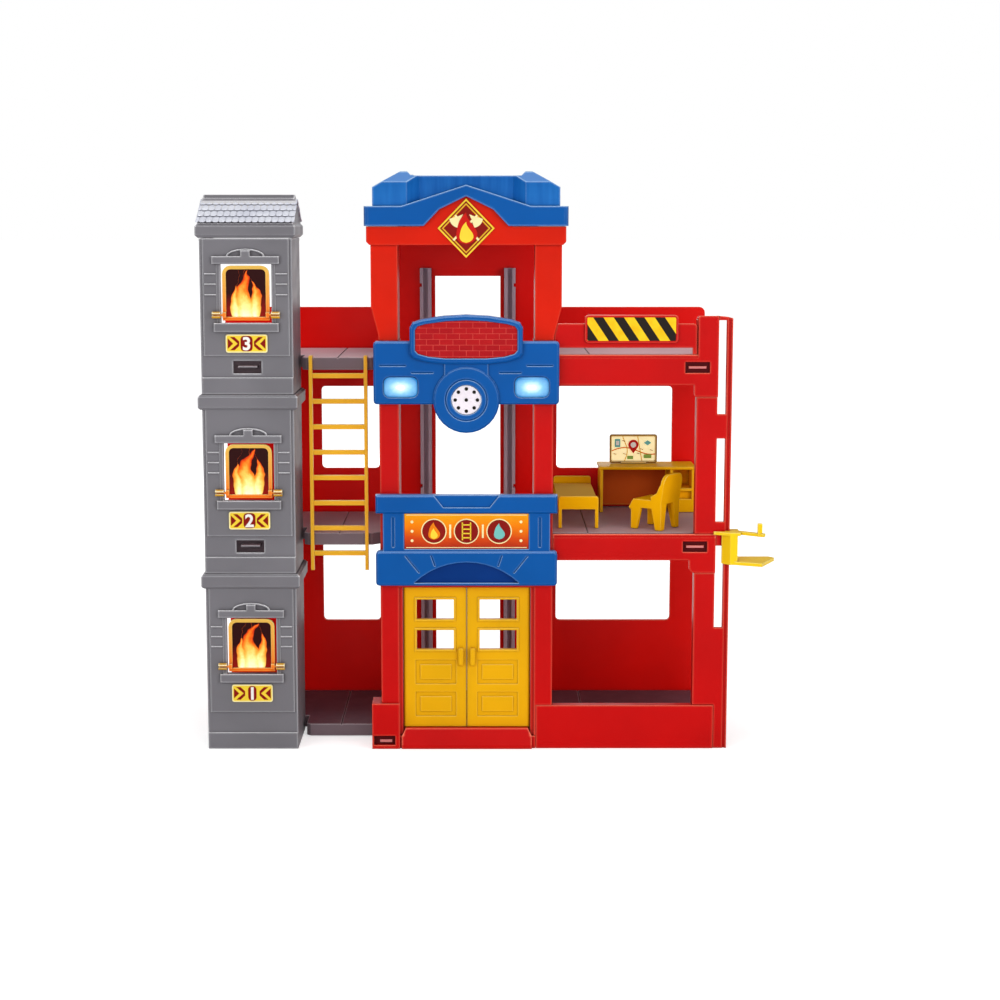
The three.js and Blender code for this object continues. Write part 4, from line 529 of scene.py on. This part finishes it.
slots = {entry["node"]: entry["material_slot"] for entry in frame["record"]["subparts"]}
for name in frame["nodes"]:
    refinish(name, finishes.get(slots[name], finishes["sticker"]))

# The second colour of each of these moulded finishes is the painted highlight on its edges.
cap_plastic = moulded("roof_cap_plastic", BLUE, BLUE_HIGHLIGHT, tint=crown_tint, edge=1.4, full_highlight=0.28)
refinish("tower_frame_upper", moulded("orange_red_plastic", ORANGE_RED, RED_HIGHLIGHT))
refinish("roof_cap", cap_plastic)
refinish("lift_carriage", moulded("bright_yellow_plastic", linear(252, 208, 24), linear(255, 240, 140)))
refinish("desk", moulded("desk_plastic", linear(250, 180, 8), YELLOW_HIGHLIGHT, tint=desk_tint, gleam=0.02))
refinish("chair", moulded("chair_plastic", SEAT_YELLOW, YELLOW_HIGHLIGHT, gleam=0.0))
# painted light on the bed's upper faces
bed_top_light = upward(linear(255, 214, 96))
refinish("bed", moulded("bed_plastic", SEAT_YELLOW, YELLOW_HIGHLIGHT, tint=bed_top_light, gleam=0.0))
refinish("ladder", moulded("ladder_plastic", linear(255, 186, 44), linear(255, 226, 120)))
# painted light: the back panels in the rooms take a brighter red than the facade's RED, as lit copies of
# the same plastic
for side, red in (("left", 250), ("centre", 255), ("right", 232)):
    panel_lit_red = linear(red, 16, 11)
    refinish(f"back_panel_{side}", moulded(f"back_panel_{side}_plastic", panel_lit_red, RED_HIGHLIGHT))
# painted light and shade: the middle floors' tops are lit less than the upper floors', and the ground
# floors' tops are shaded
for level, top in (("middle", MIDDLE_FLOOR_DIMMER_LIT_TOP), ("ground", GROUND_FLOOR_SHADED_TOP)):
    for side in SIDE_NAMES:
        name = f"floor_{side}_{level}"
        refinish(name, slab(f"{name}_plastic", top))
for number in (1, 2, 3):
    for side in SIDE_NAMES:
        name = f"pin_clip_{number}_{side}"
        refinish(name, moulded(f"{name}_plastic", CLIP_GOLD, CREAM_HIGHLIGHT))


# Surfaces


def piece(name, points, faces, material, body, smooth=False):
    """A named mesh that rides on a body and takes its finish from a slot."""
    mesh = bpy.data.meshes.new(name)
    mesh.from_pydata(np.asarray(points, float).tolist(), [], faces)
    mesh.materials.append(material)
    mesh.polygons.foreach_set("use_smooth", np.full(len(mesh.polygons), smooth))
    mesh.update()
    made = bpy.data.objects.new(name, mesh)
    bpy.context.scene.collection.objects.link(made)
    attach(made, body)
    return made


def film(name, outlines, front, material, body, thickness=PRINT):
    """Flat printed shapes: each outline in X and Z stands upright at Y = front and again a film's
    thickness behind it, and the two copies are joined by a strip."""
    points, faces, start = [], [], 0
    for outline in outlines:
        xz = np.asarray(outline, float)
        if signed_area(xz) < 0:
            xz = xz[::-1]
        count = len(xz)
        for y in (front, front + thickness):
            points.append(np.column_stack([xz[:, 0], np.full(count, y), xz[:, 1]]))
        ring = np.arange(count)
        here, following = start + ring, start + np.roll(ring, -1)
        faces.append(here.tolist())
        faces.append((here + count)[::-1].tolist())
        faces.extend(np.column_stack([following, here, here + count, following + count]).tolist())
        start += 2 * count
    piece(name, np.vstack(points), faces, material, body)


def prints(layers, face, body):
    """Films on a face: each has a name, its outlines, an ink and a level, 1 for the one nearest to it."""
    for name, outlines, ink, level in layers:
        film(name, outlines, face - level * LAYER, inks[ink], body)


def face_of(name):
    """A node's front: its middle in X and in Z, half its width, half its height, and its Y."""
    low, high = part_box(name)
    middle, centre = (low.x + high.x) / 2, (low.z + high.z) / 2
    half, tall = (high.x - low.x) / 2, (high.z - low.z) / 2
    return middle, centre, half, tall, low.y


def signed_area(xz):
    """Half the sum of x * z' - x' * z along the outline."""
    x, z = xz.T
    return 0.5 * np.sum(x * np.roll(z, -1) - np.roll(x, -1) * z)


def bent(centre, radius, start, end, count=9):
    """Points of an arc: centre plus radius times the cosine and sine of angles in degrees."""
    turn = np.radians(np.linspace(start, end, count))
    return np.column_stack([centre[0] + radius * np.cos(turn), centre[1] + radius * np.sin(turn)])


def disc(centre, radius, count=28):
    return bent(centre, radius, 0, 360, count + 1)[:-1]


def rect(x0, x1, z0, z1):
    """A rectangle, from millimetres."""
    return np.array([(x0, z0), (x1, z0), (x1, z1), (x0, z1)]) * MM


def rounded(low, high, radius, upper_only=False):
    """A rectangle with a quarter arc at each corner, or at its upper corners alone."""
    (x0, z0), (x1, z1) = low, high
    upper = [
        bent((x1 - radius, z1 - radius), radius, 0, 90, 6),
        bent((x0 + radius, z1 - radius), radius, 90, 180, 6),
    ]
    if upper_only:
        return np.vstack([[(x0, z0), (x1, z0)], *upper])
    lower = [
        bent((x0 + radius, z0 + radius), radius, 180, 270, 6),
        bent((x1 - radius, z0 + radius), radius, 270, 360, 6),
    ]
    return np.vstack([*lower, *upper])


def stroke(path, width):
    """A ribbon of even width along a path: each point moved half a width to both sides of its run."""
    path = np.asarray(path, float)
    run = np.gradient(path, axis=0)
    run /= np.linalg.norm(run, axis=1)[:, None]
    side = np.column_stack([-run[:, 1], run[:, 0]]) * width / 2
    return np.vstack([path - side, (path + side)[::-1]])


def moved(outline, by):
    return np.asarray(outline) + np.asarray(by)


def flipped(outline, middle):
    return np.column_stack([2 * middle - outline[:, 0], outline[:, 1]])


def numeral(name, text, centre, front, size=13 * MM):
    """A plain numeral as an outline font's mesh, stood upright and centred."""
    curve = bpy.data.curves.new(name, "FONT")
    curve.body = text
    curve.size = size
    curve.offset = 0.03 * size  # thickens the strokes
    curve.extrude = PRINT / 2
    curve.resolution_u = 4
    curve.align_x = "CENTER"
    shape = bpy.data.objects.new(name, curve)
    bpy.context.scene.collection.objects.link(shape)
    mesh = bpy.data.meshes.new_from_object(shape)
    bpy.data.objects.remove(shape)
    flat = np.zeros(len(mesh.vertices) * 3)
    mesh.vertices.foreach_get("co", flat)
    flat = flat.reshape(-1, 3)
    middle = (flat.min(0) + flat.max(0)) / 2
    upright = np.column_stack([
        centre[0] + flat[:, 0] - middle[0],
        front + PRINT / 2 - flat[:, 2],
        centre[1] + flat[:, 1] - middle[1],
    ])
    faces = [list(p.vertices) for p in mesh.polygons]
    piece(name, upright, faces, inks["white"], "station")


# Fire targets: a flame card in each flap's recess, and a number plate under each window

# The marks beside a numeral, in millimetres from the plate's middle.
CHEVRON = np.array([(12.0, 4.8), (6.4, 0), (12.0, -4.8), (8.8, -4.8), (5.4, -1.6), (5.4, 1.6), (8.8, 4.8)])
ARROW = np.array([(13.7, 3.8), (13.7, -3.8), (9.8, 0)])
BADGE_HALF = {1: 3.1 * MM, 2: 4.4 * MM, 3: 4.4 * MM}  # half widths of the grounds behind the numerals
SEED_STEP = 0.37  # shift of the noise from one flame to the next


def fire_target(index):
    body = f"flap_{index}"
    low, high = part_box(body)
    middle = (low.x + high.x) / 2
    half, margin, corner = 14.3 * MM, 2.8 * MM, 3.2 * MM
    recess, thickness = 1.7 * MM, 0.3 * MM
    bottom, top = low.z + margin, high.z - margin
    floor = high.y - recess - CLEAR
    outline = rounded((middle - half, bottom), (middle + half, top), corner, upper_only=True)
    centre = (middle, 0, bottom)
    card = flame_print(f"flame_print_{index}", centre, half, top - bottom, SEED_STEP * index)
    film(f"flame_card_{index}", [outline], floor - thickness, card, body, thickness)


def number_plate(index):
    name = f"number_plate_{index}"
    middle, centre, half, tall, face = face_of(name)
    rim, corner = 0.9 * MM, 1.0 * MM
    field = rounded(
        (middle - half + rim, centre - tall + rim), (middle + half - rim, centre + tall - rim), corner
    )
    shapes = []
    for outline in (ARROW, CHEVRON):
        placed = moved(outline * MM, (middle, centre))
        shapes += [placed, flipped(placed, middle)]
    wide, high, bend = BADGE_HALF[index], 5.6 * MM, 2.8 * MM
    badge = rounded((middle - wide, centre - high), (middle + wide, centre + high), bend)
    prints(
        [(f"{name}_field", [field], "yellow", 1), (f"{name}_marks", [badge, *shapes], "maroon", 2)],
        face,
        "station",
    )
    numeral(f"number_{index}", str(index), (middle, centre), face - 3 * LAYER)
    refinish(name, inks["cream"])


for target in (1, 2, 3):
    flap = f"flap_{target}"
    flap_low, flap_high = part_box(flap)
    # painted light: each flap is paler towards its top
    flap_top_light = heated(flap_low.z, flap_high.z)
    refinish(flap, moulded(f"flap_plastic_{target}", YELLOW, linear(255, 236, 150), tint=flap_top_light))
    fire_target(target)
    number_plate(target)


# Roof tiles of the grey tower: overlapping rows of rounded tiles on both slopes


def roof_tiles():
    """Each tile is a patch of u across and v down the slope. Its foot is rounded, so its length is
    full at the middle and falls off with the fourth power of u; it lies at a small pitch, so that its
    foot stands proud of the row below, and its crown arches by 1 - u squared."""
    low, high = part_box("tower_roof")
    rows, columns = 4, 15
    eave_lip, eave_height, ridge_drop, margin = 2.2 * MM, 10.4 * MM, 4.0 * MM, 0.6 * MM
    ridge_y = (low.y + high.y) / 2
    run = (high.y - low.y) / 2 - eave_lip
    top_z = high.z - ridge_drop
    rise = top_z - low.z - eave_height
    width = (high.x - low.x - 2 * margin) / columns
    slope = math.hypot(run, rise)
    length = slope / rows
    across, along = 7, 5  # points of a tile's grid
    full_length, foot_curve, half_width = 1.12, 0.2, 0.485  # shares of a row's and a column's pitch
    head_lift, foot_lift, crown = 0.45 * MM, 0.75 * MM, 0.35 * MM
    tile_faces = np.array([
        (r * across + c, r * across + c + 1, (r + 1) * across + c + 1, (r + 1) * across + c)
        for r in range(along - 1)
        for c in range(across - 1)
    ])
    points, faces, start = [], [], 0
    for face in (-1, 1):
        for row in range(rows):
            odd = row % 2
            for column in range(columns + odd):
                centre_x = low.x + margin + width * (column + 0.5 - 0.5 * odd)
                start_u = 0 if odd and column == 0 else -1
                end_u = 0 if odd and column == columns else 1
                u, v = np.meshgrid(np.linspace(start_u, end_u, across), np.linspace(0, 1, along))
                down = length * row + length * v * (full_length - foot_curve * u**4)
                lift = head_lift + foot_lift * v + crown * (1 - u**2)
                x = centre_x + u * width * half_width
                y = ridge_y + face * (down * run + lift * rise) / slope
                z = top_z - (down * rise - lift * run) / slope
                points.append(np.column_stack([x.ravel(), y.ravel(), z.ravel()]))
                turned = tile_faces if face < 0 else tile_faces[:, ::-1]
                faces.extend((turned + start).tolist())
                start += u.size
    corners = np.vstack(points)
    made = piece("roof_tiles", corners, faces, tiles_finish, "station", smooth=True)
    wall = made.modifiers.new("thickness", "SOLIDIFY")
    wall.thickness = 0.4 * MM
    wall.offset = -1


roof_tiles()


# Prints on the central tower

# An axe's handle, blade and spike, upright, in millimetres from where two axes cross.
AXE = (
    np.array([(-0.5, -8.6), (0.5, -8.6), (0.5, 7.4), (-0.5, 7.4)]),
    np.vstack([[(0.4, 6.8), (0.4, 3.6)], bent((-0.6, 5.2), 4.6, -38, 38, 7)]),
    np.array([(-0.4, 4.2), (-0.4, 6.2), (-3.0, 5.2)]),
)
AXE_SCALE = 1.55
AXE_LEAN = math.radians(44)


def flame_outline(foot, tall):
    """A single flame: half width 0.36 * sin(pi * t^0.62) of its height, slimmer by a quarter at its tip,
    and its middle line bent by a slow sine."""
    t = np.linspace(0, 1, 22)
    half = 0.36 * tall * np.sin(np.pi * t**0.62) * (1 - 0.25 * t)
    bend = 0.07 * tall * np.sin(2 * np.pi * t) * t
    z = foot[1] + tall * t
    right = np.column_stack([foot[0] + bend + half, z])
    left = np.column_stack([foot[0] + bend - half, z])
    return np.vstack([right, left[::-1][1:-1]])


def emblem():
    """A framed diamond with two crossed axes behind a flame."""
    middle, centre, half, tall, face = face_of("emblem_plate")
    unit = np.array([(0, -1), (1, 0), (0, 1), (-1, 0)], float)

    def diamond(share):
        return unit * (half * share, tall * share) + (middle, centre)

    axes = []
    for side in (-1, 1):
        turn = AXE_LEAN * side
        spin = np.array([(math.cos(turn), math.sin(turn)), (-math.sin(turn), math.cos(turn))])
        for part in AXE:
            shape = part if side < 0 else part * (-1, 1)
            axes.append((shape @ spin) * AXE_SCALE * MM + (middle, centre + MM))
    flame = flame_outline((middle, centre - 11.4 * MM), 23 * MM)
    heart = flame_outline((middle, centre - 10.4 * MM), 15 * MM)
    prints(
        [
            ("emblem_ground", [diamond(0.92)], "maroon", 1),
            ("emblem_line", [diamond(0.85)], "gold", 2),
            ("emblem_field", [diamond(0.79)], "maroon", 3),
            ("emblem_axes", axes, "cream", 4),
            ("emblem_flame", [flame], "red", 5),
            ("emblem_flame_heart", [heart], "yellow", 6),
        ],
        face,
        "station",
    )
    refinish("emblem_plate", inks["yellow"])


def name_board():
    """A glowing panel between two thin lines: three round badges with a flame, a ladder and a drop,
    bars between the badges and dots at both ends."""
    low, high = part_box("name_plate")
    middle, centre, _, _, face = face_of("name_plate")
    refinish("name_plate", sunset_print("name_board_print", low.z, high.z))
    inset, margin = 0.9 * MM, 1.2 * MM
    lines = [
        stroke([(low.x + margin, z), (high.x - margin, z)], 0.5 * MM)
        for z in (low.z + inset, high.z - inset)
    ]
    spacing, radius, rim = 24 * MM, 9.4 * MM, 0.8 * MM
    fire_x, drop_x = middle - spacing, middle + spacing
    badges = [(x, centre) for x in (fire_x, middle, drop_x)]
    rail, reach, rung = 3 * MM, 6.6 * MM, 0.9 * MM
    ladder = [
        stroke([(middle + x, centre - reach), (middle + x, centre + reach)], rung) for x in (-rail, rail)
    ]
    ladder += [
        stroke([(middle - rail, centre + z * MM), (middle + rail, centre + z * MM)], rung)
        for z in (-4.8, -1.6, 1.6, 4.8)
    ]
    bar = rect(-0.7, 0.7, -5, 5)
    marks = [moved(bar, (middle + side * spacing / 2, centre)) for side in (-1, 1)]
    dot_inset = 5.5 * MM
    for x in (low.x + dot_inset, high.x - dot_inset):
        marks += [disc((x, centre + z * MM), 1.1 * MM, 16) for z in (-7, 0, 7)]
    prints(
        [
            ("name_board_lines", lines, "cream", 1),
            ("badge_rims", [disc(place, radius) for place in badges], "cream", 1),
            ("badge_grounds", [disc(place, radius - rim) for place in badges], "maroon", 2),
            ("badge_flame", [flame_outline((fire_x, centre - 6.2 * MM), 13 * MM)], "orange", 3),
            ("badge_flame_heart", [flame_outline((fire_x, centre - 5.6 * MM), 8 * MM)], "yellow", 4),
            ("badge_ladder", ladder, "yellow", 3),
            ("badge_drop", [flame_outline((drop_x, centre - 6 * MM), 12 * MM)], "teal", 3),
            ("name_board_dots", marks, "cream", 1),
        ],
        face,
        "station",
    )


def sign_and_lamps():
    middle, centre, *_ = face_of("sign_panel")
    refinish("sign_panel", brick_print("sign_bricks", (middle, 0, centre)))
    for side in SIDE_NAMES:
        middle, centre, half, tall, _ = face_of(f"lens_{side}")
        refinish(f"lens_{side}", lamp_lens(f"lamp_{side}", (middle, 0, centre), half, tall))


emblem()
name_board()
sign_and_lamps()


# The guard rail's hazard board


def hazard_board():
    """Diagonal stripes inside the red rim of the board."""
    low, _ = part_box("guard_rail")
    left, right, bottom, top = (place * MM for place in (86.5, 154.5, 303.7, 324.1))
    rim, corner, pitch = 1.7 * MM, 0.8 * MM, 12.4 * MM
    centre = ((left + right) / 2, 0, (bottom + top) / 2)
    field = rounded((left + rim, bottom + rim), (right - rim, top - rim), corner)
    stripes = striped("hazard_stripes", centre, pitch, math.radians(-34))
    film("hazard_field", [field], low.y - LAYER, stripes, "station")


hazard_board()


# Painted shade in small recesses: the latches of the beams, the slot in the plinth, the arch of the
# balcony


def latch(name, top):
    """Painted shade on the recess floor round a pale bar. Lengths are in millimetres: top is the height of
    the beam's upper edge, drop leads from it to the bar's middle."""
    left, right, drop = 160.1, 177.9, 9.3
    half, wall, slot, gap = 3.9, 2.3, 1, 0.3
    middle = top - drop
    shades = [
        rect(left, right, middle + slot, middle + half),
        rect(left, right, middle - half, middle - slot),
        rect(left, left + wall, middle - slot, middle + slot),
        rect(right - wall, right, middle - slot, middle + slot),
    ]
    bar = rect(left + wall + gap, right - wall - gap, middle - slot + gap, middle + slot - gap)
    recess_floor, bar_face = FACADE + 1.9 * MM, FACADE + 0.5 * MM
    prints([(f"{name}_shade", shades, "shade", 1)], recess_floor, "station")
    prints([(f"{name}_bar", [bar], "pale", 1)], bar_face, "station")


def plinth_slot():
    """A pale bar on painted shade over the floor of the plinth's recess, in millimetres."""
    shade = rect(-69.3, -53.7, 3, 9.8)
    bar = rect(-65, -56, 4.6, 6.6)
    marks = [("plinth_shade", [shade], "shade", 1), ("plinth_bar", [bar], "pale", 2)]
    prints(marks, FACADE + MM, "station")


def arch_shade():
    """Painted shade on the floor of the balcony's arch: a circle segment of half width h and rise r, with
    the radius (h * h + r * r) / (2 * r)."""
    half, rise, bottom = 38.4 * MM, 15.2 * MM, 127.6 * MM
    radius = (half**2 + rise**2) / (2 * rise)
    spread = math.degrees(math.asin(half / radius))
    outline = bent((0, bottom + rise - radius), radius, 90 - spread, 90 + spread, 25)
    prints([("arch_shade", [outline], "navy", 1)], FACADE - 5.4 * MM, "station")


def grille_holes():
    """Painted shade: dark discs over the holes of the speaker, one in the middle and eight round it."""
    middle, centre, _, _, face = face_of("speaker_grille")
    ring = bent((middle, centre), 8.1 * MM, 0, 315, 8)
    holes = [disc(place, 1.3 * MM, 16) for place in np.vstack([(middle, centre), ring])]
    prints([("grille_holes", holes, "black", 1)], face, "station")


def door_lips():
    """A thin lip on the inner edge of each leaf: together they close the gap between the leaves, in dark
    brown as the painted shade of that gap.
    """
    width, inset, thickness = 0.12 * MM, 2.6 * MM, 0.8 * MM
    for side, body in zip((-1, 1), ("door_left", "door_right")):
        low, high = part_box(body)
        edge = high.x if side < 0 else low.x
        tip = edge - side * width
        lip = [(edge, low.z), (tip, low.z), (tip, high.z), (edge, high.z)]
        film(f"{body}_lip", [lip], low.y + inset, inks["lip"], body, thickness)


latch("latch_middle", 162.5)
latch("latch_roof", 295.2)
plinth_slot()
arch_shade()
grille_holes()
door_lips()


# Street map on the desk's screen

# Where the map's short dashes start, in shares of its width and height.
DASH_SHARES = ((0.26, 0.3), (0.58, 0.32), (0.66, 0.5), (0.04, 0.3), (0.88, 0.46), (0.24, 0.84))


def street_map():
    """A plain street plan: parks, a pond and a shelter between thin streets, and a red pin. The main
    street rises and falls with a sine of its share of the width, and the cross street with one of its
    share of the height."""
    low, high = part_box("desk_screen")
    rim, foot_rim = 1.7 * MM, 1.9 * MM
    x0, x1 = low.x + rim, high.x - rim
    z0, z1 = low.z + foot_rim, high.z - rim
    wide, tall = x1 - x0, z1 - z0
    recess_floor, frame_face = low.y + 4.3 * MM, low.y + 3.5 * MM

    def at(a, b):
        return x0 + a * wide, z0 + b * tall

    def quarter(a0, b0, a1, b1):
        return rounded(at(a0, b0), at(a1, b1), 0.5 * MM)

    border_width, road_width, lane_width, dash_width = 0.8 * MM, 0.9 * MM, 0.7 * MM, 0.5 * MM
    ground = rounded((x0, z0), (x1, z1), 0.8 * MM)
    edge = 0.5 * MM
    border = rounded((low.x + edge, low.z + edge), (high.x - edge, high.z - edge), 1.2 * MM)
    sides = zip(border, np.roll(border, -1, axis=0))
    lines = [stroke([here, there], border_width) for here, there in sides]
    t = np.linspace(0, 1, 24)
    road = np.column_stack([x0 + wide * t, z0 + tall * (0.4 + 0.14 * np.sin(5.2 * t))])
    cross = np.column_stack([x0 + wide * (0.3 + 0.06 * np.sin(4 * t)), z0 + tall * t])
    lane = np.column_stack([x0 + wide * (0.7 - 0.1 * t), z0 + tall * t])
    parks = [quarter(0.36, 0.06, 0.5, 0.2), quarter(0.74, 0.1, 0.92, 0.26)]
    shelter = quarter(0.07, 0.56, 0.2, 0.9)
    shelter_heart = quarter(0.1, 0.64, 0.17, 0.82)
    pond = moved(np.array([(0, -2.2), (3, 0), (0, 2.2), (-3, 0)]) * MM, at(0.83, 0.74))
    dashes = [stroke([at(a, b), at(a + 0.07, b - 0.04)], dash_width) for a, b in DASH_SHARES]
    head = at(0.5, 0.66)
    pin = np.vstack([[(head[0], head[1] - 7 * MM)], bent(head, 4.1 * MM, -38, 218, 17)])
    prints([("map_ground", [ground], "screen", 1)], recess_floor, "desk")
    prints([("screen_line", lines, "brown", 1)], frame_face, "desk")
    prints(
        [
            ("map_roads", [stroke(road, road_width)], "orange", 2),
            ("map_lanes", [stroke(cross, lane_width), stroke(lane, lane_width)], "gold", 3),
            ("map_parks", parks, "green", 4),
            ("map_water", [shelter, pond], "teal", 5),
            ("map_heart", [shelter_heart], "white", 6),
            ("map_dashes", dashes, "brown", 7),
            ("map_pin", [pin], "red", 8),
            ("map_pin_eye", [disc(head, 2.2 * MM, 18)], "white", 9),
        ],
        recess_floor,
        "desk",
    )


street_map()


# Floor, light and camera

LIGHTS = (  # name, place, aim, size and power of each soft box
    ("key", (0.0, -1.25, 0.4), (0, 0, 0.32), 0.9, 3.2),
    ("left_key", (-0.8, -1.0, 0.5), (0, 0, 0.3), 0.6, 3.2),
    ("right_key", (0.8, -1.0, 0.5), (0, 0, 0.3), 0.6, 4.2),
    ("top", (0.0, -0.3, 2.0), (0, 0, 0.22), 1.2, 12),
    ("back", (-0.3, 1.6, 0.8), (0, 0, 0.22), 1.2, 8.5),
)
AMBIENT = 0.34  # strength of the white surroundings, where the camera doesn't see them
FLOOR_REACH = 30.0
FLOOR_DROP = 0.2 * MM  # the floor lies this far under the station
CAMERA_PLACE = (12.15 * MM, -1.5345, 0.39597)
CAMERA_TILT = 8.1  # degrees downwards
CAMERA_SHIFT = 0.017  # share of the frame's width


def floor_finish():
    """A pale floor that reads white to the camera and keeps the object's shadow. It glows more the
    farther it is from the object, where less light falls on it."""
    f = Finish("studio_floor")
    rays = f.node("ShaderNodeLightPath").outputs
    bounced = f.maths("MAXIMUM", rays["Is Glossy Ray"], rays["Is Transmission Ray"])
    seen = f.maths("MAXIMUM", rays["Is Camera Ray"], bounced)
    matt = f.node("ShaderNodeBsdfDiffuse", {"Color": (0.9, 0.9, 0.9, 1)})
    across, along, _ = f.split(f.place)
    near, far, near_glow, far_glow = 0.4, 1.4, 0.5, 0.85
    level = f.spread(f.root_of_squares(across, along), near, far, near_glow, far_glow)
    white = f.node("ShaderNodeEmission", {"Strength": f.maths("MULTIPLY", seen, level)})
    both = f.node("ShaderNodeAddShader", {0: matt.outputs[0], 1: white.outputs[0]})
    f.node("ShaderNodeOutputMaterial", {"Surface": both.outputs[0]})
    return f.material


def studio_floor():
    mesh = bpy.data.meshes.new("studio_floor")
    signs = [(-1, -1), (1, -1), (1, 1), (-1, 1)]
    corners = [(x * FLOOR_REACH, y * FLOOR_REACH, -FLOOR_DROP) for x, y in signs]
    mesh.from_pydata(corners, [], [(0, 1, 2, 3)])
    mesh.materials.append(floor_finish())
    ground = bpy.data.objects.new("studio_floor", mesh)
    bpy.context.scene.collection.objects.link(ground)


def studio_world():
    """White surroundings: full white to the camera, and a soft ambient light for the object."""
    world = bpy.data.worlds.new("studio")
    bpy.context.scene.world = world
    world.use_nodes = True
    tree = world.node_tree
    tree.nodes.clear()
    rays = tree.nodes.new("ShaderNodeLightPath").outputs
    seen = tree.nodes.new("ShaderNodeMath")
    seen.operation = "MAXIMUM"
    tree.links.new(rays["Is Camera Ray"], seen.inputs[0])
    tree.links.new(rays["Is Transmission Ray"], seen.inputs[1])
    level = tree.nodes.new("ShaderNodeMapRange")
    level.inputs["To Min"].default_value = AMBIENT
    level.inputs["To Max"].default_value = 1.0
    tree.links.new(seen.outputs[0], level.inputs["Value"])
    sky = tree.nodes.new("ShaderNodeBackground")
    sky.inputs["Color"].default_value = (1, 1, 1, 1)
    tree.links.new(level.outputs[0], sky.inputs["Strength"])
    out = tree.nodes.new("ShaderNodeOutputWorld")
    tree.links.new(sky.outputs[0], out.inputs["Surface"])


def soft_box(name, place, aim, size, power):
    lamp = bpy.data.lights.new(name, "AREA")
    lamp.shape = "SQUARE"
    lamp.size = size
    lamp.energy = power
    made = bpy.data.objects.new(name, lamp)
    bpy.context.scene.collection.objects.link(made)
    made.location = place
    made.rotation_euler = (Vector(aim) - Vector(place)).to_track_quat("-Z", "Y").to_euler()


def photo_camera():
    """The camera of the photograph: its height, tilt and distance come from the facade's edges."""
    lens = bpy.data.cameras.new("camera")
    lens.lens = 72
    lens.sensor_width = 36
    lens.shift_x = CAMERA_SHIFT
    made = bpy.data.objects.new("camera", lens)
    bpy.context.scene.collection.objects.link(made)
    made.location = CAMERA_PLACE
    made.rotation_euler = (math.radians(90 - CAMERA_TILT), 0, 0)
    bpy.context.scene.camera = made


studio_floor()
studio_world()
for light in LIGHTS:
    soft_box(*light)
photo_camera()
bpy.context.scene.view_settings.view_transform = "Standard"
